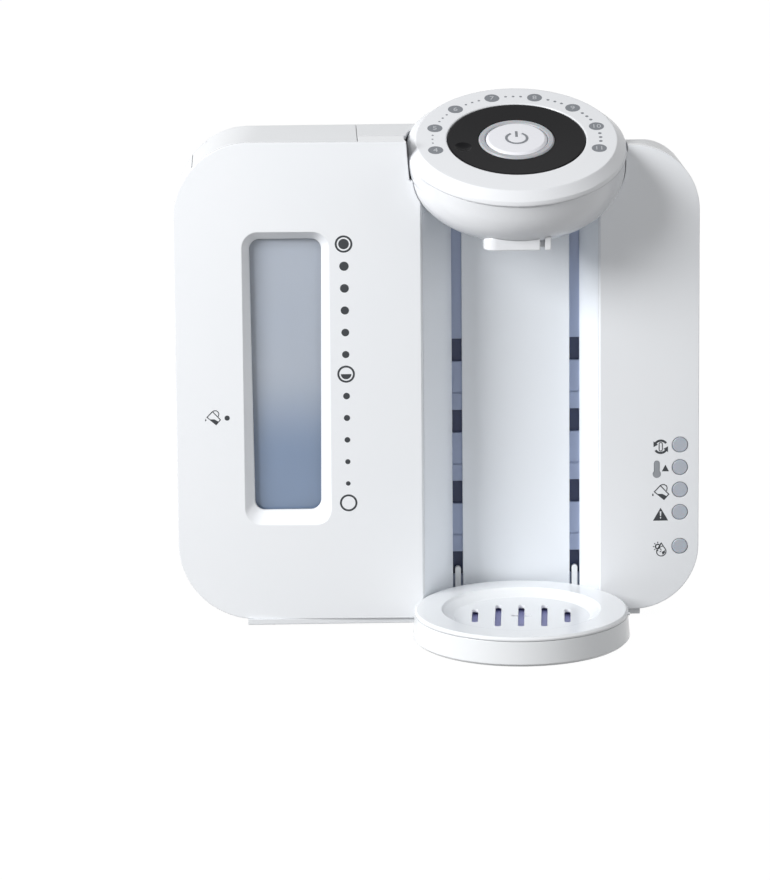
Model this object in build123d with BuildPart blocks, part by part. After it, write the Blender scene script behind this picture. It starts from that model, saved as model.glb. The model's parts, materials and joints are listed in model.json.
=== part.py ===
"""Baby formula maker: counter-top machine with a lift-out water tank on the left, a
dispensing head over an open bottle bay, and a bottle stand that climbs the bay's rails.

Frame: +X to the machine's right as its user sees it, +Y to the back, +Z up, in mm.
The origin is under the middle of the whole machine, on the table. The word "depth" in a
name is a distance back from the left front panel.
"""

from build123d import *
from math import cos, radians, sin, sqrt
import os

os.makedirs("parts", exist_ok=True)

# ---------------------------------------------------------------- housing
body_width = 320.0
body_height = 303.0
body_depth = 85.0
shoulder_drop = 6.5          # the right shoulder is this much lower than the left
right_setback = 13.0         # the right panel stands this far behind the left one
corner_r_left = 46.0
corner_r_right = 40.0
corner_growth = 12.0         # the big corners widen by this from the front to the back
rear_flat_left = 53.0        # depth at which the top over the tank starts to round off
rear_flat_right = 25.0
rear_corner_r = 22.0         # upright rear corners
bow_r = 1900.0               # both front panels are bowed to this radius
wall = 2.5
parting_depth = 20.0         # where the front panels meet the rear shell
shell_gap = 0.3              # seam between two casings
skirt_height = 4.6           # the housing stops this far above the table

# ---------------------------------------------------------------- bottle bay
bay_x = 48.7                 # middle of the bay, the head and the stand
bay_depth = 37.5
bay_half_front = 59.1        # half width at the left panel
bay_half_right = 50.8        # half width at the right panel
bay_half_back = 39.3
liner_wall = 2.2
rail_width = 6.2
rail_sink = 4.0              # the rail's floor lies this far behind the back panel
rail_wall = 1.8
rail_foot = 6.3
rail_top_drop = 53.0         # the rails end this far under the housing's top
liner_top_drop = 45.0
step_pitch = 45.2
step_count = 4
step_window = 14.5
first_window_top = 35.3
step_line = 0.24             # share of the pitch from a window's top up to the mark above it
strip_thick = 1.0            # dark strip behind the windows, which keeps drips out
strip_margin = 4.0

# ---------------------------------------------------------------- stand and drip cover
stand_r = 65.2
stand_forward = 31.0         # the stand's middle is this far in front of the left panel
stand_top = 18.4
stand_lift = 0.4             # air under the stand at its lowest step
cup_height = 15.3
cup_chamfer = 1.5
cup_wall = 2.2
cup_draft = 1.0              # the cup widens by this towards its foot
cover_gap = 0.3
cover_rim = 2.4
cover_edge = 1.3             # softened outer edge of the cover
cover_turn = -3.0            # the round cover can lie turned; its slots stand at this angle
cover_skin = 2.0
cover_tab = 2.4              # lift-off tab at the cover's right edge
cover_tab_angle = -8.0
saucer_r_top = 48.6
saucer_r_floor = 41.5
saucer_sink = 4.6
slot_width = 3.7
slot_pitch = 14.1
slot_long = 47.0
slot_short = 29.0
slot_cross = 12.0
hook_width = 3.6
hook_top = 26.5
hook_gap = 0.5
arm_low = 7.0                # underside and top of the arms that carry the hooks
arm_high = 12.0
hook_air = 0.6               # the hooks stay this far behind the bay's back panel

# ---------------------------------------------------------------- head
head_depth = 13.5            # middle of the head's face
head_drop = 1.7              # the face's middle is this far under the housing's top
head_tilt = 19.08
face_r = 61.0
bevel_drop = 5.0
bevel_r = 66.4
head_r = 67.0
seam_drop = 8.0
seam_gap = 0.5
bowl_r = 66.2
bowl_straight = 17.0
bowl_floor_r = 36.0
bowl_drop = 46.5
head_gap = 0.4               # joint round the head
joint_gap = 1.4              # open joint beside the head's upper part, in the left panel
joint_drop = 17.0
lap_rise = 4.0               # lip of the bowl that carries the cover, half above the seam
lap_wall = 1.4
neck_r = 64.0
nozzle_width = 33.8
nozzle_tab = 3.6
nozzle_slot = 3.0
nozzle_length = 20.0
nozzle_depth = -20.0
nozzle_shift = -1.5          # the nozzle's middle against the bay's
nozzle_drop = 59.8           # its underside is this far under the head's middle
outlet_r = 3.0
outlet_pitch = 12.0

# ---------------------------------------------------------------- dial and start button
dial_r = 41.9
dial_inner_r = 23.4
dial_gap = 0.35
dial_thick = 4.0
dial_dish = 0.7              # the ring falls this much towards its middle
dimple_r = 33.4              # the finger dimple's distance from the dial's middle
dimple_ball = 9.0
dimple_sink = 2.0
dial_hub_wall = 2.0
dial_hub_drop = 11.0
hub_gap = 0.08
mark_first = 4
mark_last = 11
mark_step = 29.75            # degrees between two volume marks
light_ring_r = 23.0
button_r = 18.7
button_proud = 0.8
button_thick = 3.0
button_gap = 0.3
button_travel = 1.5
stem_r = 4.5
carrier_thick = 2.4
push_width = 7.0             # push switch under the start button's stem
push_height = 1.0
board_thick = 1.6
spring_wire = 0.8
spring_turns = 4

# ---------------------------------------------------------------- window and level scale
window_from_side = 67.6      # the window's middle from the housing's left side
window_drop = 146.95         # and its middle under the housing's top
window_width = 53.3
window_height = 183.7
window_corner = 10.0
window_inner_corner = 6.2
window_inner_top = 43.6      # the inner opening narrows downwards
window_inner_low = 40.2
window_head = 5.5            # heights of the bevelled frame above and below the opening
window_sill = 8.7
window_depth = 8.0
window_lip = 1.6

# ---------------------------------------------------------------- tank, lid and filter
tank_from_side = 14.0
tank_from_bay = 39.6
tank_front = 11.0
tank_from_back = 9.0
tank_floor_rise = 10.0       # the tank's underside above the housing's
tank_headroom = 26.0
tank_wall = 2.0
tank_corner = 4.0
tank_to_corner = 28.0        # the tank's bottom left rounding is this much tighter than the shell's
tank_heel = 10.0
lid_overlap = 2.0            # the lid is this much wider than the tank on each side
lid_from_back = 6.5
lid_gap = 0.3
lid_rear_gap = 1.0           # room for the lid's rear edge as it swings down
hinge_from_back = 14.0
hinge_drop = 13.7
hinge_pin_r = 1.5
hinge_ear_r = 3.0
hinge_ear_width = 4.0
hinge_lug_width = 5.0
hinge_span = 56.0
filter_room = 2.5            # space between the filter's cap and the tank's walls
filter_to_side = 4.0
filter_wall = 1.6
filter_length = 120.0
filter_cap_height = 13.0
filter_cap_edge = 2.0        # the flange and the case are narrower than the cap by these
filter_case_edge = 6.0
filter_band_height = 16.0
filter_notches = 3
filter_notch_width = 9.0
filter_notch_height = 6.0
filter_seat_height = 8.0
filter_gap = 0.3
cap_scallops = 30
scallop_r = 2.2
spigot_r = 9.0
spigot_drop = 4.0
float_to_filter = 2.5
float_depth = 24.0
float_r = 8.0
float_height = 14.0
float_travel = 12.0
float_post_r = 2.6
float_gap = 0.4
bay_plate = 2.0

# ---------------------------------------------------------------- right panel
lamp_from_side = 11.5
lamp_r = 4.7
lamp_heights = {"filter_button": 108.7, "heat_lamp": 94.4, "fill_lamp": 80.2,
                "descale_lamp": 65.9, "clean_button": 44.3}
lamp_gap = 0.3
lamp_flange = 1.2
key_travel = 1.0
lamp_proud = 0.1
key_proud = 0.3
lamp_chamfer = 0.4
lamp_board_depth = 23.0
lamp_board_width = 26.0
lamp_board_margin = 8.0
key_switch = 5.0
key_switch_rise = 0.8
boss_r = 2.5
boss_inset = 8.0             # the bosses stand this far inside the rows of lamps

# ---------------------------------------------------------------- works
works_gap = 0.3
boiler_from_side = 30.0
boiler_from_back = 28.0
boiler_r = 21.0
boiler_bottom = 40.0
boiler_height = 96.0
boiler_wall = 1.5
boiler_round = 4.0
boiler_port = 8.0
cradle_width = 14.0
cradle_foot = 2.0
cradle_web = 4.0
cradle_reach = 20.0
pump_to_tank = 22.0
pump_r = 13.0
pump_end_gap = 16.5          # the pump stops this far short of the housing's front and back
pump_port = 8.0
pump_foot = 5.0
pump_height = 22.0
board_width = 86.0
board_height = 104.0
board_drop = 133.0           # the board's middle under the housing's top
board_from_back = 14.0
board_corner_r = 3.0
board_margin = 6.0
board_rise = 14.0            # height of the parts on the board
transformer = (-20.0, 20.0, 26.0, 30.0)    # x and z from the board's middle, width, height
relay = (22.0, 26.0, 18.0, 15.0)
terminals = (-18.0, -26.0, 30.0, 10.0)
capacitor = (20.0, -24.0)
capacitor_r = 8.0
post_r = 3.0
tube_r = 3.0

# ---------------------------------------------------------------- underside and rear
plate_thick = 3.4
plate_inset = 1.5
plate_reach = 4.0            # the plate runs this far under the big corners
foot_r = 8.0
foot_height = 1.2
foot_plug_r = 3.0
foot_gap = 0.1
screw_r = 3.4
screw_head = 0.9
screw_inset = 12.0
switch_from_side = 76.0
switch_z = 44.0
switch_width = 15.0
switch_height = 21.0
switch_frame = 2.0
switch_body = 14.0
switch_pocket = 11.0
switch_tilt = 9.0
rocker_hub_r = 3.0
rocker_air = 0.4
gland_from_side = 48.0
gland_z = 22.0
gland_r = 7.0
gland_flange = 2.0
vent_count = 6
vent_width = 44.0
vent_height = 2.6
vent_pitch = 7.0
vent_z = 78.0

# ---------------------------------------------------------------- worked-out places
stand_reach = stand_r + cup_draft + stand_forward
front_y = (stand_reach - body_depth) / 2
half_width = body_width / 2
right_top = body_height - shoulder_drop
rear_inner_depth = body_depth - wall
tilt = radians(head_tilt)
head_origin = Vector(bay_x, front_y + head_depth, body_height - head_drop)
head_up = Vector(0, -sin(tilt), cos(tilt))
head_back = Vector(0, cos(tilt), sin(tilt))
head_axis = Axis(head_origin, head_up)
head_section = Plane(origin=head_origin, x_dir=(1, 0, 0), z_dir=-head_back)
face_plane = Plane(origin=head_origin, x_dir=(1, 0, 0), z_dir=head_up)
stand_centre = (bay_x, front_y - stand_forward)
rail_half = bay_half_back - rail_width / 2
rail_floor = bay_depth + rail_sink
dial_turn = (mark_last - mark_first) * mark_step
home_angle = 90 + dial_turn / 2      # the first mark, measured on the face from +X
neck_depth = body_depth - neck_r
rail_top = body_height - rail_top_drop
liner_top = body_height - liner_top_drop
nozzle_x = bay_x + nozzle_shift
nozzle_bottom = head_origin.Z - nozzle_drop
window_x = -half_width + window_from_side
window_z = body_height - window_drop
tank_left = -half_width + tank_from_side
tank_right = bay_x - bay_half_front - tank_from_bay
tank_back = body_depth - tank_from_back
tank_bottom = skirt_height + tank_floor_rise
tank_top = body_height - tank_headroom
tank_mid_x = (tank_left + tank_right) / 2
tank_mid_depth = (tank_front + tank_back) / 2
lid_left = tank_left - lid_overlap
lid_right = tank_right + lid_overlap
lid_back = body_depth - lid_from_back
hinge_depth = body_depth - hinge_from_back
hinge_height = body_height - hinge_drop
filter_depth = tank_mid_depth
filter_cap_r = (tank_back - tank_front) / 2 - tank_wall - filter_room
filter_r = filter_cap_r - filter_case_edge
filter_flange_r = filter_cap_r - filter_cap_edge
filter_x = tank_right - tank_wall - filter_to_side - filter_cap_r
float_reach = filter_r + float_r + float_to_filter
float_x = filter_x - sqrt(float_reach**2 - (filter_depth - float_depth) ** 2)
tank_bilge = corner_r_left + corner_growth - tank_to_corner
lamp_x = half_width - lamp_from_side
boiler_x = half_width - boiler_from_side
boiler_depth = body_depth - boiler_from_back
pump_x = tank_right + pump_to_tank
pump_depth = body_depth / 2
pump_length = body_depth - 2 * pump_end_gap
board_depth = body_depth - board_from_back
board_z = body_height - board_drop
switch_x = half_width - switch_from_side
gland_x = half_width - gland_from_side
shell_floor = skirt_height + wall + works_gap / 3
rail_low = shell_floor + wall
far = 400.0                          # longer than the machine


def depth_plane(depth):
    """Upright plane facing the user at a depth, drawn in x and z; back is minus."""
    return Plane.XZ.offset(-(front_y + depth))


def bow_depth(x):
    """Depth of the bowed front face at an x outside the bay."""
    side = -1 if x < bay_x else 1
    start = bay_x + side * (bay_half_front if side < 0 else bay_half_right)
    base = 0.0 if side < 0 else right_setback
    return base + bow_r - sqrt(bow_r**2 - (x - start) ** 2)


def finish(part, name):
    """Label a finished piece and write it."""
    part.label = name
    export_step(part, f"parts/{name}.step")


def box_at(low, high):
    """Solid block between two corners given as x, depth and z."""
    size = [b - a for a, b in zip(low, high)]
    with BuildPart() as block:
        with Locations((low[0], front_y + low[1], low[2])):
            Box(*size, align=(Align.MIN, Align.MIN, Align.MIN))
    return block.part


# ---------------------------------------------------------------- shared forms
def half_form(side, top, corner_r, face_depth, rear_flat, inset):
    """One half of the housing as a solid, drawn in evenly by an inset.

    The front view gives the big outer corners, which widen towards the back, the plan gives
    the bowed face and the upright rear corner, and the side view the rounded top rear edge.
    """
    outer_x = side * (half_width - inset)
    inner_x = bay_x - side
    low = skirt_height + inset
    high = top - inset
    bow_start = bay_x + side * (bay_half_front if side < 0 else bay_half_right)
    face = front_y + face_depth + inset
    back = front_y + body_depth - inset
    with BuildPart() as form:
        for depth, growth in ((face_depth - wall, 0.0), (body_depth + wall, corner_growth)):
            with BuildSketch(depth_plane(depth)) as front_view:
                with Locations(((outer_x + inner_x) / 2, (low + high) / 2)):
                    Rectangle(abs(outer_x - inner_x), high - low)
                outer = front_view.vertices().group_by(Axis.X)[0 if side < 0 else -1]
                fillet(outer, corner_r + growth - inset)
        loft(ruled=True)
        with BuildSketch(Plane.XY):
            with BuildLine():
                # the plan reaches past the side, so that the front view alone gives the side
                past_x = outer_x + side * wall
                nose = (past_x, front_y + bow_depth(past_x) + inset)
                mid_x = (bow_start + past_x) / 2
                middle = (mid_x, front_y + bow_depth(mid_x) + inset)
                ThreePointArc((bow_start, face), middle, nose)
                Line((bow_start, face), (inner_x, face))
                Line((inner_x, face), (inner_x, back))
                Line((inner_x, back), (outer_x - side * (rear_corner_r - inset), back))
                RadiusArc((outer_x - side * (rear_corner_r - inset), back),
                          (outer_x, back - rear_corner_r + inset), side * (rear_corner_r - inset))
                Polyline((outer_x, back - rear_corner_r + inset),
                         (past_x, back - rear_corner_r - wall), nose)
            make_face()
        extrude(amount=body_height, mode=Mode.INTERSECT)
        with BuildSketch(Plane.YZ) as side_view:
            with Locations(((face + back) / 2, (low + high) / 2)):
                Rectangle(back - face, high - low)
            rear_top = side_view.vertices().group_by(Axis.Y)[-1].sort_by(Axis.X)[-1]
            fillet(rear_top, body_depth - rear_flat - inset)
        extrude(amount=far, both=True, mode=Mode.INTERSECT)
    return form.part


def left_form(inset):
    """The tank's half of the housing."""
    return half_form(-1, body_height, corner_r_left, 0.0, rear_flat_left, inset)


def right_form(inset):
    """The control panel's half of the housing."""
    return half_form(1, right_top, corner_r_right, right_setback, rear_flat_right, inset)


def neck_form(inset):
    """Upright drum behind the head, which carries it over the lower right shoulder."""
    with BuildPart() as drum:
        with BuildSketch(Plane.XY.offset(liner_top - far / 2)):
            with Locations((bay_x, front_y + neck_depth)):
                Circle(neck_r - inset)
        extrude(amount=body_height - inset - liner_top + far / 2)
        split(bisect_by=depth_plane(parting_depth), keep=Keep.BOTTOM)
    return drum.part


def head_form(grow):
    """Outer form of the whole head, grown evenly by a clearance."""
    with BuildPart() as form:
        with BuildSketch(head_section):
            with BuildLine():
                turn_r = bowl_drop - bowl_straight
                Polyline((0, grow), (face_r + grow * 0.6, grow), (bevel_r + grow, -bevel_drop),
                         (head_r + grow, -seam_drop), (bowl_r + grow, -seam_drop - seam_gap),
                         (bowl_r + grow, -bowl_straight))
                EllipticalCenterArc((bowl_floor_r, -bowl_straight), bowl_r - bowl_floor_r + grow,
                                    turn_r + grow, start_angle=270, arc_size=90)
                Polyline((bowl_floor_r, -bowl_drop - grow), (0, -bowl_drop - grow), (0, grow))
            make_face()
        revolve(axis=head_axis)
    return form.part


def head_clearance(side_gap, side_drop):
    """Space that the casings leave for the head, open above it.

    The side gap is the joint beside the head's upper part, down to a drop under its face.
    """
    with BuildPart() as space:
        add(head_form(head_gap))
        with BuildSketch(face_plane.offset(-side_drop)):
            Circle(head_r + side_gap)
        extrude(amount=far / 4)
    return space.part


def bay_form(grow, low, high):
    """The bottle bay's empty space with splayed walls, grown by a wall's thickness."""
    left_slope = (bay_half_front - bay_half_back) / bay_depth
    right_slope = (bay_half_right - bay_half_back) / (bay_depth - right_setback)
    open_depth = -far / 8
    left_front = bay_x - bay_half_back - left_slope * (bay_depth - open_depth)
    right_front = bay_x + bay_half_back + right_slope * (bay_depth - open_depth)
    with BuildPart() as space:
        with BuildSketch(Plane.XY.offset(low)):
            with BuildLine():
                Polyline((left_front, front_y + open_depth),
                         (bay_x - bay_half_back, front_y + bay_depth),
                         (bay_x + bay_half_back, front_y + bay_depth),
                         (right_front, front_y + open_depth), close=True)
            make_face()
            if grow:
                offset(amount=grow, kind=Kind.INTERSECTION)
        extrude(amount=high - low)
    return space.part


def lining_form(grow, low, high):
    """Outer form of the bay's lining, which starts behind the two front panels."""
    start = wall + shell_gap - (grow - liner_wall)
    with BuildPart() as lining:
        add(bay_form(grow, low, high))
        add(box_at((-far, -far, -far), (bay_x, start, far)), mode=Mode.SUBTRACT)
        add(box_at((bay_x, -far, -far), (far, right_setback + start, far)), mode=Mode.SUBTRACT)
    return lining.part


def lid_hole(gap):
    """Block over the tank that the lid fills; its front follows the bowed panel."""
    left, right = lid_left - gap, lid_right + gap
    middle = (left + right) / 2
    start = front_y + wall + shell_gap - gap
    end = front_y + lid_back + (lid_rear_gap if gap else 0)
    with BuildPart() as hole:
        with BuildSketch(Plane.XY.offset(tank_top - 2 * wall)):
            with BuildLine():
                ThreePointArc((left, start + bow_depth(left)), (middle, start + bow_depth(middle)),
                              (right, start + bow_depth(right)))
                Polyline((right, start + bow_depth(right)), (right, end), (left, end),
                         (left, start + bow_depth(left)))
            make_face()
        extrude(amount=body_height - tank_top + 3 * wall)
    return hole.part


def window_edge(grow):
    """Inner edge of the level window as a flat sketch in x and z."""
    high = window_z + window_height / 2 - window_head + grow
    low = window_z - window_height / 2 + window_sill - grow
    half_high = window_inner_top / 2 + grow
    half_low = window_inner_low / 2 + grow
    with BuildSketch() as edge:
        with BuildLine():
            Polyline((window_x - half_low, low), (window_x + half_low, low),
                     (window_x + half_high, high), (window_x - half_high, high), close=True)
        make_face()
        fillet(edge.vertices(), window_inner_corner + grow)
    return edge.sketch_local


def window_form(grow, back_off):
    """Funnel of the level window, from the bowed face back to its inner edge.

    The mouth lies on the face's tangent plane, set back by a distance.
    """
    slope = (bay_x - bay_half_front - window_x) / bow_r
    mouth_origin = (window_x, front_y + bow_depth(window_x) + back_off, window_z)
    mouth = Plane(origin=mouth_origin, x_dir=(1, -slope, 0), z_dir=(-slope, -1, 0))
    with BuildPart() as funnel:
        with BuildSketch(mouth):
            RectangleRounded(window_width + 2 * grow, window_height + 2 * grow,
                             window_corner + grow)
        with BuildSketch(depth_plane(window_depth)):
            add(window_edge(grow))
        loft()
        if not grow:
            with BuildSketch(mouth):
                RectangleRounded(window_width, window_height, window_corner)
            extrude(amount=window_depth)
            with BuildSketch(depth_plane(window_depth)):
                add(window_edge(0))
            extrude(amount=-wall)
    return funnel.part


def face_plate(outer, inner):
    """Front panel of one half: its shell in front of the parting plane."""
    with BuildPart() as panel:
        add(outer)
        add(inner, mode=Mode.SUBTRACT)
        split(bisect_by=depth_plane(parting_depth - shell_gap), keep=Keep.TOP)
    return panel.part


left_outer, left_inner = left_form(0), left_form(wall)
right_outer, right_inner = right_form(0), right_form(wall)
bay_space = bay_form(0, -wall, body_height + wall)
lining_space = lining_form(liner_wall + shell_gap, -wall, body_height + wall)
head_space = head_clearance(head_gap, seam_drop)
joint_space = head_clearance(joint_gap, joint_drop)
rail_back = rail_floor + rail_wall + shell_gap
rail_edge = bay_half_back + rail_wall + shell_gap
rail_space = box_at((bay_x - rail_edge, bay_depth, -wall), (bay_x + rail_edge, rail_back, rail_low))

# ---------------------------------------------------------------- left front panel
with BuildPart() as left_fascia:
    add(face_plate(left_outer, left_inner))
    split(bisect_by=Plane.YZ.offset(bay_x - bay_half_back), keep=Keep.BOTTOM)
    add(window_form(window_lip, wall / 2))
    add(window_form(0, 0), mode=Mode.SUBTRACT)
    add(bay_space, mode=Mode.SUBTRACT)
    add(lining_space, mode=Mode.SUBTRACT)
    add(joint_space, mode=Mode.SUBTRACT)
    add(lid_hole(lid_gap), mode=Mode.SUBTRACT)
finish(left_fascia.part, "left_fascia")

# ---------------------------------------------------------------- right front panel
board_face = lamp_board_depth - works_gap
with BuildPart() as right_fascia:
    add(face_plate(right_outer, right_inner))
    split(bisect_by=Plane.YZ.offset(bay_x + bay_half_back), keep=Keep.TOP)
    add(bay_space, mode=Mode.SUBTRACT)
    add(lining_space, mode=Mode.SUBTRACT)
    add(head_space, mode=Mode.SUBTRACT)
    with BuildSketch(depth_plane(right_setback + wall)):
        boss_x = lamp_x - lamp_board_width / 2
        with Locations((boss_x, min(lamp_heights.values()) + boss_inset),
                       (boss_x, max(lamp_heights.values()) - boss_inset)):
            Circle(boss_r)
    extrude(amount=-(board_face - right_setback - wall))
    with BuildSketch(depth_plane(right_setback - wall)):
        for lamp_z in lamp_heights.values():
            with Locations((lamp_x, lamp_z)):
                Circle(lamp_r + lamp_gap)
    extrude(amount=-3 * wall, mode=Mode.SUBTRACT)
finish(right_fascia.part, "right_fascia")

# ---------------------------------------------------------------- rear shell
with BuildPart() as rear_shell:
    add(left_outer)
    add(right_outer)
    add(neck_form(0))
    add(left_inner, mode=Mode.SUBTRACT)
    add(right_inner, mode=Mode.SUBTRACT)
    add(neck_form(wall), mode=Mode.SUBTRACT)
    split(bisect_by=depth_plane(parting_depth), keep=Keep.BOTTOM)
    add(lining_space, mode=Mode.SUBTRACT)
    add(rail_space, mode=Mode.SUBTRACT)
    add(head_space, mode=Mode.SUBTRACT)
    add(lid_hole(lid_gap), mode=Mode.SUBTRACT)
    with BuildSketch(depth_plane(board_depth + board_thick)):
        with Locations((bay_x, board_z)):
            with GridLocations(board_width - 2 * board_margin, board_height - 2 * board_margin, 2, 2):
                Circle(post_r)
    extrude(amount=-(rear_inner_depth - board_depth - board_thick))
    with BuildSketch(depth_plane(rear_inner_depth - wall)):
        with Locations((gland_x, gland_z)):
            Circle(gland_r + works_gap)
        with Locations((switch_x, switch_z)):
            Rectangle(switch_width, switch_height)
        with Locations((bay_x, vent_z + vent_count * vent_pitch / 2)):
            with GridLocations(0, vent_pitch, 1, vent_count):
                SlotOverall(vent_width, vent_height)
    extrude(amount=-3 * wall, mode=Mode.SUBTRACT)
finish(rear_shell.part, "rear_shell")

# ---------------------------------------------------------------- base plate and feet
plate_left = -half_width + corner_r_left - plate_reach
plate_right = half_width - corner_r_right + plate_reach
liner_side = bay_x + bay_half_back + liner_wall + wall
foot_left = plate_left + 2 * foot_r
foot_right = (plate_right + liner_side) / 2
foot_back = front_y + body_depth - 2 * foot_r
foot_spots = [(foot_left, front_y + 1.7 * foot_r), (foot_left, foot_back),
              (foot_right, front_y + right_setback + 1.7 * foot_r), (foot_right, foot_back)]
with BuildPart() as base_plate:
    with BuildSketch(Plane.XY.offset(skirt_height - plate_thick)):
        high_y = front_y + body_depth - plate_inset
        for end_x, setback in ((plate_left, 0), (plate_right, right_setback)):
            low_y = front_y + plate_inset + setback
            with Locations(((end_x + bay_x) / 2, (low_y + high_y) / 2)):
                Rectangle(abs(end_x - bay_x), high_y - low_y)
        with Locations(*foot_spots):
            Circle(foot_plug_r + foot_gap, mode=Mode.SUBTRACT)
    extrude(amount=plate_thick)
    add(lining_space, mode=Mode.SUBTRACT)
    add(rail_space, mode=Mode.SUBTRACT)
    add(bay_space, mode=Mode.SUBTRACT)
finish(base_plate.part, "base_plate")

with BuildPart() as rubber_feet:
    with BuildSketch(Plane.XY):
        with Locations(*foot_spots):
            Circle(foot_r)
    extrude(amount=foot_height - foot_gap / 2, taper=8)
    with BuildSketch(Plane.XY.offset(foot_height / 2)):
        with Locations(*foot_spots):
            Circle(foot_plug_r)
    extrude(amount=skirt_height - foot_height / 2)
finish(rubber_feet.part, "rubber_feet")

# ---------------------------------------------------------------- bay liner and its rails
with BuildPart() as recess_liner:
    add(lining_form(liner_wall, skirt_height - plate_thick, liner_top))
    add(bay_space, mode=Mode.SUBTRACT)
    add(head_space, mode=Mode.SUBTRACT)
    with BuildSketch(depth_plane(bay_depth - wall)):
        with Locations((bay_x - rail_half, (rail_foot + rail_top) / 2),
                       (bay_x + rail_half, (rail_foot + rail_top) / 2)):
            Rectangle(rail_width, rail_top - rail_foot)
    extrude(amount=-2 * wall - liner_wall, mode=Mode.SUBTRACT)
finish(recess_liner.part, "recess_liner")

for rail_side, rail_name, strip_name in ((-1, "rail_left", "step_strip_left"),
                                         (1, "rail_right", "step_strip_right")):
    with BuildPart() as rail:
        rail_x = bay_x + rail_side * rail_half
        rail_z = (rail_foot + rail_top) / 2
        with BuildSketch(depth_plane(bay_depth + liner_wall)):
            with Locations((rail_x, rail_z)):
                Rectangle(rail_width + 2 * rail_wall, rail_top - rail_foot + 2 * rail_wall)
                Rectangle(rail_width, rail_top - rail_foot, mode=Mode.SUBTRACT)
        extrude(amount=-(rail_floor - bay_depth - liner_wall))
        with BuildSketch(depth_plane(rail_floor)):
            with Locations((rail_x, rail_z)):
                Rectangle(rail_width + 2 * rail_wall, rail_top - rail_foot + 2 * rail_wall)
            for step in range(step_count):
                with Locations((rail_x, first_window_top - step_window / 2 + step * step_pitch)):
                    Rectangle(rail_width, step_window, mode=Mode.SUBTRACT)
        extrude(amount=-rail_wall)
        with BuildSketch(depth_plane(rail_floor)):
            for step in range(step_count - 1):
                with Locations((rail_x, first_window_top + (step + step_line) * step_pitch)):
                    Rectangle(rail_width, rail_wall / 2)
        extrude(amount=-rail_wall / 3, mode=Mode.SUBTRACT)
    finish(rail.part, rail_name)
    with BuildPart() as strip:
        strip_low = first_window_top - step_window - strip_margin
        strip_high = first_window_top + (step_count - 1) * step_pitch + strip_margin
        with BuildSketch(depth_plane(rail_floor + rail_wall + works_gap / 3)):
            with Locations((rail_x, (strip_low + strip_high) / 2)):
                Rectangle(rail_width + rail_wall, strip_high - strip_low)
        extrude(amount=-strip_thick)
    finish(strip.part, strip_name)

# ---------------------------------------------------------------- stand
stand_plane = Plane.XZ.offset(-stand_centre[1])
cup_low = stand_lift
cup_high = cup_low + cup_height
hook_x = [bay_x - rail_half, bay_x + rail_half]
with BuildPart() as stand_cup:
    with BuildSketch(stand_plane):
        with BuildLine():
            foot_r_out = stand_r + cup_draft
            Polyline((bay_x, cup_low), (bay_x + foot_r_out - cup_chamfer, cup_low),
                     (bay_x + foot_r_out, cup_low + cup_chamfer), (bay_x + stand_r, cup_high),
                     (bay_x + stand_r - cup_wall, cup_high),
                     (bay_x + stand_r - cup_wall, cup_low + cup_wall),
                     (bay_x, cup_low + cup_wall), close=True)
        make_face()
    revolve(axis=Axis((bay_x, stand_centre[1], 0), (0, 0, 1)))
    with BuildSketch(Plane.XY.offset(arm_low)):
        arm_front = front_y - stand_forward + sqrt(stand_r**2 - rail_half**2) - cup_wall
        arm_back = front_y + rail_floor - hook_gap
        for x in hook_x:
            with Locations((x, (arm_front + arm_back) / 2)):
                Rectangle(hook_width, arm_back - arm_front)
    extrude(amount=arm_high - arm_low)
    with BuildSketch(depth_plane(rail_floor - hook_gap)):
        for x in hook_x:
            with Locations((x, (arm_low + hook_top) / 2)):
                SlotOverall(hook_top - arm_low, hook_width, rotation=90)
    extrude(amount=rail_sink - hook_gap - hook_air)
finish(stand_cup.part, "stand_cup")

cover_low = cup_high + cover_gap
saucer_floor = stand_top - saucer_sink
rim_out = bay_x + stand_r - cup_wall - cover_gap
rim_in = rim_out - cover_skin
with BuildPart() as drip_cover:
    with BuildSketch(stand_plane):
        with BuildLine():
            Polyline((bay_x, saucer_floor), (bay_x + saucer_r_floor, saucer_floor),
                     (bay_x + saucer_r_top - cover_edge, stand_top - cover_edge),
                     (bay_x + saucer_r_top, stand_top),
                     (bay_x + stand_r - cover_edge, stand_top),
                     (bay_x + stand_r, stand_top - cover_edge), (bay_x + stand_r, cover_low),
                     (rim_out, cover_low), (rim_out, cover_low - cover_rim),
                     (rim_in, cover_low - cover_rim), (rim_in, stand_top - cover_rim),
                     (bay_x + saucer_r_top, stand_top - cover_rim),
                     (bay_x + saucer_r_floor, saucer_floor - cover_skin),
                     (bay_x, saucer_floor - cover_skin), close=True)
        make_face()
    revolve(axis=Axis((bay_x, stand_centre[1], 0), (0, 0, 1)))
    with BuildSketch(Plane.XY.offset(cover_low)):
        with Locations(stand_centre):
            with PolarLocations(stand_r, 1, start_angle=cover_tab_angle):
                Rectangle(cover_tab, cover_tab)
    extrude(amount=cover_edge)
    with BuildSketch(Plane.XY.offset(saucer_floor - cover_skin - wall)):
        with Locations(Location((*stand_centre, 0), (0, 0, cover_turn))):
            for place in range(-2, 3):
                length = slot_short if abs(place) == 2 else slot_long
                with Locations((place * slot_pitch, 0)):
                    SlotOverall(length, slot_width, rotation=90)
            SlotOverall(slot_cross, slot_width)
    extrude(amount=cover_skin + 2 * wall, mode=Mode.SUBTRACT)
finish(drip_cover.part, "drip_cover")

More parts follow.
